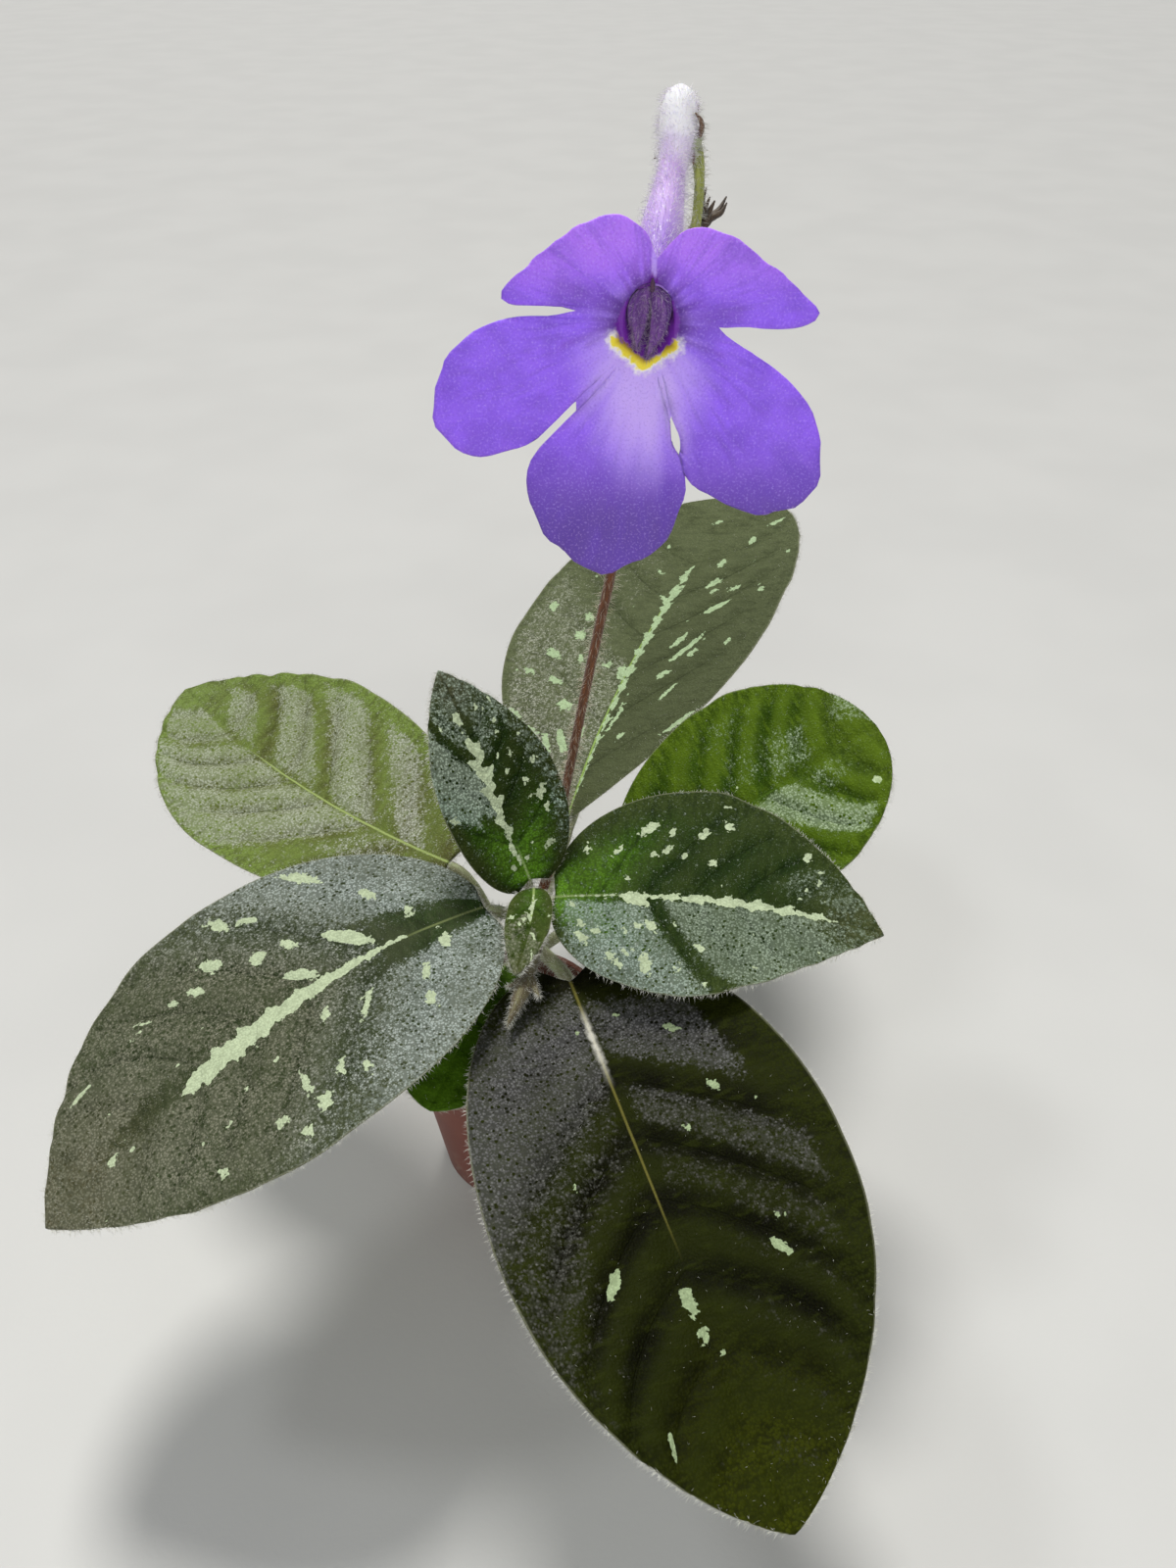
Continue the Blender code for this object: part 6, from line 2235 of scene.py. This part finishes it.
PALE = srgb(190, 204, 168)
LEAVES = (
    (LeafShape("leaf_left", 95.0, (-3.8, -3.4, 100.8), 123.0, 208.0, 18.0, 4.0, 37.0, 1.0, 42.5, 41.0,
               0.45, 0.5, 2.1, 0.94, 1.8, 0.045, 8, 0.45, 1.7),
     LeafPattern(
         LeafSkin(srgb(46, 56, 32), srgb(76, 82, 58), srgb(40, 62, 22), srgb(86, 80, 58),
                  srgb(164, 174, 168), srgb(124, 124, 106), PALE, srgb(104, 114, 72), 0.25, veins=8,
                  spacing=15.4), 0.48,
         marks(Patch, (0.02, 0.17, 0.12, 1.05, 0.4, 0.0, 0.07),
               (0.02, 0.2, -1.05, -0.13, 0.44, 0.0, 0.05), (-0.05, 0.21, -0.3, 0.2, -0.75, 0.0, 0.06),
               (0.3, 0.58, 0.12, 0.92, 0.16), (0.3, 0.58, -0.9, -0.1, 0.14),
               (0.6, 1.05, -1.1, 1.1, 0.3, 0.0, 0.08), (0.64, 0.84, -0.1, 0.1, -0.5, 0.0, 0.07)),
         marks(Fleck, (0.23, -0.21, 5.5, 2.4, -8), (0.36, -0.12, 3.0, 2.2, -36),
               (0.36, -0.57, 3.0, 1.8, 38), (0.28, 0.74, 2.6, 1.4, -38), (0.24, 0.34, 4.0, 1.2, 2),
               (0.13, -0.87, 4.0, 1.3, -6), (0.25, -0.81, 4.0, 1.2, 24), (0.335, -0.4, 3.2, 1.4, 58),
               (0.335, 0.58, 5.0, 0.9, -38), (0.37, 0.69, 2.9, 1.1, -60), (0.285, -0.37, 3.0, 1.2, 30),
               (0.48, 0.8, 3.0, 0.9, -63), (0.115, 0.6, 3.0, 0.9, -22), (0.44, -0.47, 2.4, 1.3, 33),
               (0.265, 0.61, 2.1, 1.1, -30), (0.115, -0.54, 2.4, 1.1, 13), (0.33, 0.25, 2.5, 1.1, -32),
               (0.09, 0.22, 2.6, 1.3, -21), (0.3, 0.84, 2.3, 0.9, -38), (0.235, -0.72, 1.8, 1.3, -11),
               (0.125, 0.38, 2.4, 1.1, -9), (0.21, 0.72, 2.2, 0.8, -32), (0.47, -0.52, 2.0, 0.9, 38),
               (0.11, -0.25, 2.8, 0.9, 42), (0.83, 0.12, 2.0, 1.2, -80), (0.69, -0.72, 2.6, 1.1, -60),
               (0.52, -0.6, 2.0, 0.8, 0), (0.52, 0.5, 1.4, 0.6, 60), (0.5, 0.35, 1.4, 0.6, 50)),
         marks(Streak, (0.17, 0.665, -0.01, 0.075, 0.016, 0.108, 0.2)), 22)),
    (LeafShape("leaf_front", 87.0, (17.5, -20.1, 92.1), 124.5, -74.0, 6.0, 4.0, 19.0, 4.0, 41.0, 35.0,
               0.47, 0.5, 2.2, 0.82, 6.5, 0.11, 8, 0.75, 1.9),
     LeafPattern(
         LeafSkin(srgb(10, 10, 2), srgb(40, 46, 8), srgb(22, 22, 8), srgb(58, 64, 6), srgb(98, 98, 98),
                  srgb(78, 78, 72), srgb(164, 182, 140), srgb(98, 94, 44), 0.62, 0.1, veins=8,
                  spacing=15.5, pebble_highlight_share=0.02, painted_glint=0.08, rough=0.5, painted_ridge_light=0.5, painted_gleam=0.7), -0.12,
         # This leaf's silver is mostly painted glare of the light from behind, near its foot and in strips
         # beside the quilted crests.
         marks(Patch, (0.03, 0.26, -1.05, -0.03, 0.55, 0.0, 0.05),
               (0.04, 0.46, -1.05, -0.03, 0.5, 0.0, 0.1), (0.06, 0.2, 0.04, 0.74, 0.85),
               (0.255, 0.35, 0.06, 0.86, 0.7, 0.0, 0.02), (0.38, 0.48, 0.05, 0.84, 0.5, 0.0, 0.03),
               (0.51, 0.58, 0.25, 0.9, 0.34), (0.64, 0.7, 0.2, 0.9, 0.34), (0.76, 0.81, 0.15, 0.9, 0.34),
               (0.86, 0.92, 0.05, 0.7, 0.4), (0.84, 0.88, -0.7, -0.08, 0.34),
               (0.36, 0.66, -0.98, -0.5, 0.26, 0.0, 0.1)),
         marks(Fleck, (0.53, 0.5, 2.3, 1.8, 5), (0.51, -0.43, 2.4, 2.2, 40), (0.66, -0.065, 3.4, 1.5, 85),
               (0.715, -0.06, 1.8, 1.2, 80), (0.465, 0.535, 1.4, 0.6, -48), (0.335, 0.285, 1.1, 0.6, -50),
               (0.225, 0.52, 1.6, 0.9, -42), (0.12, 0.526, 1.5, 1.1, 14), (0.335, -0.445, 1.0, 0.7, 40),
               (0.74, -0.71, 2.4, 1.2, -50)),
         (), 4)),
    (LeafShape("leaf_right", 95.0, (13.4, 0.5, 100.5), 81.9, -5.0, -15.0, 11.0, 16.0, 10.0, 32.5, 30.5,
               0.45, 0.5, 1.6, 0.97, 1.2, 0.10, 7, 0.35, 1.5),
     LeafPattern(
         LeafSkin(srgb(24, 44, 8), srgb(60, 72, 32), srgb(88, 132, 28), srgb(76, 80, 50),
                  srgb(156, 172, 162), srgb(140, 154, 134), PALE, srgb(120, 140, 84), 0.25, 0.3, veins=7,
                  spacing=11.5), 0.12,
         marks(Patch, (0.03, 0.26, -1.1, -0.1, 0.8), (0.33, 0.78, -1.1, -0.05, 0.74),
               (0.78, 1.1, -1.1, -0.05, 0.36), (0.62, 0.86, 0.22, 0.95, 0.3), (0.8, 1.1, 0.0, 1.1, 0.2)),
         marks(Fleck, (0.245, -0.045, 4.0, 2.8, -77), (0.17, -0.73, 4.0, 1.2, 18),
               (0.15, 0.67, 2.5, 1.6, -2), (0.245, -0.34, 2.2, 1.4, 24), (0.285, 0.6, 2.3, 1.2, -26),
               (0.315, 0.71, 2.7, 0.9, -47), (0.055, -0.66, 1.8, 1.2, 0), (0.24, 0.43, 2.1, 1.0, -7),
               (0.345, -0.52, 1.6, 1.2, 66), (0.56, 0.77, 3.0, 1.0, -56), (0.21, 0.61, 2.0, 0.8, -35),
               (0.395, 0.33, 1.8, 1.0, -32), (0.09, -0.5, 1.8, 0.9, 41), (0.205, -0.35, 1.8, 0.9, 38),
               (0.11, -0.81, 1.8, 0.8, 6), (0.115, 0.49, 1.6, 0.8, -11), (0.06, -0.47, 1.3, 0.8, 22),
               (0.1, -0.76, 2.0, 0.7, 21), (0.135, -0.65, 1.5, 0.7, 7), (0.05, 0.66, 1.7, 0.6, -6),
               (0.05, -0.16, 1.3, 0.9, 4), (0.27, -0.88, 1.4, 0.7, 40), (0.295, 0.39, 1.7, 0.7, -29),
               (0.215, 0.39, 1.4, 0.7, -29), (0.24, -0.73, 1.9, 0.6, 42), (0.165, -0.41, 1.3, 0.7, 14),
               (0.7, 0.56, 1.5, 0.6, -50)),
         marks(Streak, (0.2, 0.87, -0.01, -0.005, 0.02, 0.075),
               (0.03, 0.2, 0.0, 0.0, 0.01, 0.014, 0.2)), 20, 0.92)),
    (LeafShape("leaf_young", 99.5, (7.0, 3.7, 103.6), 58.5, 127.5, -4.0, 59.0, 25.5, 0.0, 16.0, 17.5,
               0.42, 0.4, 1.74, 0.95, 2.2, 0.125, 6, 0.3, 1.2),
     LeafPattern(
         LeafSkin(srgb(22, 42, 6), srgb(54, 62, 26), srgb(92, 140, 32), srgb(86, 86, 66),
                  srgb(168, 190, 172), srgb(156, 170, 152), PALE, srgb(130, 154, 92), 0.2, 0.32, veins=6,
                  spacing=9.7), 0.1,
         marks(Patch, (0.3, 0.54, 0.12, 0.5, 0.75, -0.12), (0.22, 0.54, 0.45, 1.1, 0.8, -0.04),
               (0.58, 1.1, 0.05, 1.1, 0.42), (0.55, 1.1, -1.1, -0.1, 0.4), (0.25, 0.6, -1.1, -0.7, 0.36),
               (0.05, 0.25, -1.1, -0.75, 0.3)),
         marks(Fleck, (0.185, 0.85, 1.5, 0.7, -29), (0.745, 0.14, 2.4, 1.2, -75),
               (0.2, -0.64, 2.0, 1.1, 19), (0.715, -0.43, 1.3, 0.8, 68), (0.285, -0.49, 1.3, 0.8, 63),
               (0.285, -0.76, 1.5, 0.6, 41), (0.065, -0.61, 1.5, 0.6, -6), (0.43, -0.47, 1.2, 0.6, 62),
               (0.145, -0.68, 1.0, 0.6, 17), (0.065, 0.28, 1.0, 0.6, -13)),
         marks(Streak, (0.07, 0.665, 0.1, 0.04, 0.04, 0.165, 0.5)), 16)),
    (LeafShape("leaf_back", 87.0, (16.0, 34.5, 97.1), 145.0, 75.5, -22.0, 17.0, 3.0, -15.5, 47.0, 42.0,
               0.58, 1.04, 2.2, 0.51, 0.0, 0.093, 8, 0.5, 1.9),
     LeafPattern(
         LeafSkin(srgb(82, 90, 60), srgb(100, 108, 76), srgb(78, 84, 52), srgb(92, 100, 68),
                  srgb(172, 174, 158), srgb(166, 170, 150), srgb(176, 200, 156), srgb(140, 168, 88), 0.72,
                  0.1, veins=8, spacing=18.0, painted_half_shade=0.35), 0.0,
         marks(Patch, (0.04, 0.42, 0.0, 0.95, 0.5), (0.42, 0.75, 0.2, 0.9, 0.22)),
         marks(Fleck, (0.36, -0.415, 5.6, 3.0, -52), (0.48, -0.47, 5.2, 3.0, 28),
               (0.135, 0.39, 3.6, 2.2, 79), (0.205, 0.41, 3.9, 1.8, -47), (0.385, 0.04, 3.6, 2.4, -88),
               (0.105, -0.89, 3.2, 1.6, -37), (0.62, -0.32, 3.5, 2.8, 78), (0.365, 0.5, 3.9, 1.9, -64),
               (0.27, 0.63, 4.2, 1.6, -31), (0.41, -0.32, 3.3, 1.9, -58), (0.335, 0.82, 3.2, 1.7, -50),
               (0.11, 0.89, 3.0, 1.3, -12), (0.7, -0.3, 3.6, 1.8, 78), (0.42, 0.5, 3.4, 1.6, -53),
               (0.105, 0.58, 3.0, 1.6, -81), (0.105, 0.75, 4.2, 1.0, -8), (0.22, -0.5, 3.3, 1.3, -78),
               (0.23, 0.54, 4.4, 1.0, -37), (0.375, 0.18, 3.4, 1.2, -54), (0.195, 0.78, 2.5, 1.1, -21),
               (0.77, -0.49, 3.1, 1.6, 83), (0.81, -0.75, 4.4, 2.0, 20), (0.325, 0.4, 2.4, 1.4, -90),
               (0.195, 0.17, 2.8, 1.1, 87), (0.53, -0.54, 3.5, 1.4, 40), (0.3, -0.35, 3.0, 1.4, 30),
               (0.32, -0.5, 2.4, 1.4, 70), (0.55, -0.9, 2.6, 1.0, 60), (0.43, -0.78, 2.6, 1.0, 60),
               (0.57, -0.37, 2.4, 1.2, 60), (0.245, -0.12, 8.0, 1.1, -86), (0.62, 0.04, 3.6, 1.4, 20),
               (0.64, -0.03, 5.0, 1.6, -70), (0.68, 0.2, 2.0, 1.0, 0), (0.76, 0.33, 2.2, 1.0, 30),
               (0.9, 0.08, 2.6, 1.2, -50), (0.28, -0.74, 2.2, 1.0, 60), (0.16, -0.3, 2.0, 1.0, 70)),
         marks(Streak, (0.05, 0.74, -0.04, -0.01, 0.02, 0.036, 0.5)), 16, 0.82)),
    (LeafShape("leaf_left_back", 80.0, (-14.5, 14.2, 99.9), 114.0, 152.5, -24.0, 4.0, 1.0, -13.0, 31.0,
               35.5, 0.535, 0.5, 1.8, 0.80, 2.3, 0.095, 8, 0.8, 1.8),
     LeafPattern(
         LeafSkin(srgb(92, 96, 50), srgb(118, 142, 66), srgb(84, 84, 46), srgb(116, 134, 72),
                  srgb(176, 180, 166), srgb(166, 172, 152), srgb(184, 190, 160), srgb(150, 166, 100), 0.7,
                  0.3, veins=8, spacing=14.2, painted_vein_shade=0.35, rough=0.8), 0.2,
         marks(Patch, (0.24, 0.48, 0.03, 0.96, 0.72), (0.5, 0.7, 0.03, 0.96, 0.7),
               (0.73, 0.9, 0.02, 0.85, 0.6), (0.1, 0.2, 0.05, 0.5, 0.3),
               (0.07, 0.15, -0.85, -0.02, 0.62, 0.06), (0.22, 0.36, -0.88, -0.03, 0.72, 0.06),
               (0.42, 0.57, -0.78, -0.05, 0.68, 0.08), (0.67, 0.78, -0.62, -0.05, 0.66, 0.1)),
         (),
         (), 0)),
    (LeafShape("leaf_right_back", 80.0, (31.0, 17.1, 90.7), 79.0, 8.0, 13.0, 34.5, 9.5, 21.5, 32.0, 29.0,
               0.58, 0.5, 1.7, 0.50, 0.0, 0.0, 7, 0.7, 1.7),
     LeafPattern(
         # The bright green here is partly painted light shining through the blade from behind.
         LeafSkin(srgb(42, 68, 8), srgb(86, 110, 22), srgb(38, 60, 12), srgb(78, 98, 24),
                  srgb(164, 182, 148), srgb(162, 180, 146), srgb(186, 204, 160), srgb(70, 96, 30), 0.7,
                  0.3, veins=7, spacing=11.3, painted_vein_shade=0.15, painted_ridge_light=0.55), 0.06,
         marks(Patch, (0.5, 0.66, -0.9, -0.04, 0.85, 0.04), (0.4, 0.6, 0.16, 0.5, 0.2),
               (0.6, 0.76, 0.05, 0.45, 0.4), (0.7, 0.82, -0.35, -0.05, 0.3), (0.86, 1.1, 0.35, 1.1, 0.42),
               (0.3, 0.5, 0.55, 0.8, 0.2)),
         marks(Fleck, (0.82, -0.72, 2.0, 1.4, 0)),
         (), 3)),
    (LeafShape("leaf_crown", 99.5, (8.4, -1.5, 105.3), 27.5, 272.5, -19.5, 8.5, 27.5, 2.0, 5.2, 5.9, 0.43,
               0.5, 2.0, 0.83, 0.0, 0.23, 4, 0.15, 0.9),
     LeafPattern(
         LeafSkin(srgb(46, 66, 14), srgb(74, 86, 40), srgb(70, 106, 30), srgb(84, 86, 54),
                  srgb(136, 138, 118), srgb(130, 132, 112), PALE, srgb(140, 160, 96), 0.5, 0.4, veins=4,
                  spacing=6.8, pebble=0.7), 0.15,
         marks(Patch, (0.3, 1.1, -1.1, -0.15, 0.5), (0.45, 1.1, 0.1, 1.1, 0.5)),
         marks(Fleck, (0.235, -0.05, 2.4, 0.7, -68), (0.385, -0.35, 1.5, 0.8, 76),
               (0.235, -0.78, 1.0, 0.6, 48)),
         marks(Streak, (0.05, 0.45, 0.0, -0.05, 0.06, 0.14, 0.3)), 3)),
    (LeafShape("leaf_low", 74.0, (1.1, -12.2, 88.9), 41.5, 244.0, 7.0, -4.0, 14.5, 0.0, 18.0, 17.7, 0.45,
               0.5, 1.9, 0.63, 0.0, 0.05, 5, 0.35, 1.4),
     LeafPattern(
         # The bright green here is partly painted light shining through the blade from behind.
         LeafSkin(srgb(52, 82, 11), srgb(74, 106, 22), srgb(56, 80, 18), srgb(66, 98, 18),
                  srgb(120, 140, 92), srgb(120, 140, 92), srgb(160, 184, 120), srgb(98, 128, 52), 0.7,
                  0.1, veins=5, spacing=8.3, pebble_highlight_share=0.1), -0.15,
         marks(Patch, (0.2, 0.5, -0.7, -0.1, 0.12)),
         (),
         (), 0)),
)


@dataclass
class Studio:
    """Pale floor, soft lights and the camera."""

    eye: Triple = (0.0219, -0.217, 0.307)
    tilt: float = 52.0
    lens: float = 27.045
    sensor: float = 36.0
    floor_half: float = 9.0
    gap: float = 0.05
    haze: float = 0.3

    def floor(self) -> None:
        """Lay the floor at the pot's underside."""
        bm = bmesh.new()
        bmesh.ops.create_grid(bm, x_segments=2, y_segments=2, size=self.floor_half)
        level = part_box("pot")[0][2] - self.gap * MM
        bmesh.ops.translate(bm, verts=bm.verts, vec=(0.0, 0.0, level))
        mesh = settle("floor", bm)
        mesh.materials.append(FloorPaint(srgb(196, 196, 193)).make("floor_paint"))
        floor = bpy.data.objects.new("floor", mesh)
        bpy.context.scene.collection.objects.link(floor)

    def lamp(self, name: str, place: Triple, aim: Triple, size: float, power: float,
             colour: Triple) -> None:
        """Hang one soft lamp.

        Args:
            name: Its name.
            place: Where it hangs.
            aim: What it points at.
            size: Width of its square.
            power: Its power in watts.
            colour: Its light's colour.
        """
        data = bpy.data.lights.new(name, "AREA")
        data.shape = "SQUARE"
        data.size = size
        data.energy = power
        data.color = colour
        lamp = bpy.data.objects.new(name, data)
        bpy.context.scene.collection.objects.link(lamp)
        lamp.location = place
        lamp.rotation_euler = (Vector(aim) - Vector(place)).to_track_quat("-Z", "Y").to_euler()
        lamp.visible_camera = False

    def sun(self, name: str, way: Triple, spread: float, power: float, colour: Triple) -> None:
        """Hang one distant light.

        Args:
            name: Its name.
            way: Direction towards it.
            spread: Its width in degrees as seen from the plant.
            power: Its power for each square metre.
            colour: Its light's colour.
        """
        data = bpy.data.lights.new(name, "SUN")
        data.angle = math.radians(spread)
        data.energy = power
        data.color = colour
        light = bpy.data.objects.new(name, data)
        bpy.context.scene.collection.objects.link(light)
        light.rotation_euler = (-Vector(way)).to_track_quat("-Z", "Y").to_euler()

    def build(self) -> None:
        """Set up the floor, the world, the lamps and the camera."""
        scene = bpy.context.scene
        self.floor()
        world = bpy.data.worlds.new("studio")
        world.use_nodes = True
        sky = world.node_tree.nodes["Background"]
        sky.inputs["Color"].default_value = srgb(226, 228, 232)
        sky.inputs["Strength"].default_value = self.haze
        scene.world = world
        self.sun("key_light", (-0.1, 0.55, 1.0), 15.0, 2.7, (1.0, 0.98, 0.95))
        self.sun("side_light", (-0.57, 0.19, 1.0), 10.0, 0.4, (0.95, 0.98, 1.0))
        self.lamp("front_panel", (0.1, -1.1, 0.8), (0.0, 0.0, 0.2), 0.8, 7.5, (1.0, 1.0, 1.0))
        data = bpy.data.cameras.new("camera")
        camera = bpy.data.objects.new("camera", data)
        scene.collection.objects.link(camera)
        camera.location = self.eye
        camera.rotation_euler = (math.radians(self.tilt), 0.0, 0.0)
        data.sensor_fit = "VERTICAL"
        data.sensor_height = self.sensor
        data.lens = self.lens
        data.clip_start = 0.001
        scene.camera = camera
        scene.view_settings.view_transform = "Standard"


def main() -> None:
    """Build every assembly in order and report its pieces."""
    logging.basicConfig(level=logging.INFO, format="%(message)s")
    assemblies = [Pot(), Soil(), Stem()]
    for index, (shape, pattern) in enumerate(LEAVES):
        assemblies.append(Leaf(shape, pattern, Leaf.FIRST_SEED + Leaf.SEED_STEP * index))
    assemblies += [FlowerStalk(), Corolla(), Stamens(), Pistil(), YoungBud()]
    for assembly in assemblies:
        for piece in assembly.build():
            LOG.info("%s: %d faces", piece.name, len(piece.data.polygons))
    Studio().build()


if __name__ == "__main__":
    main()
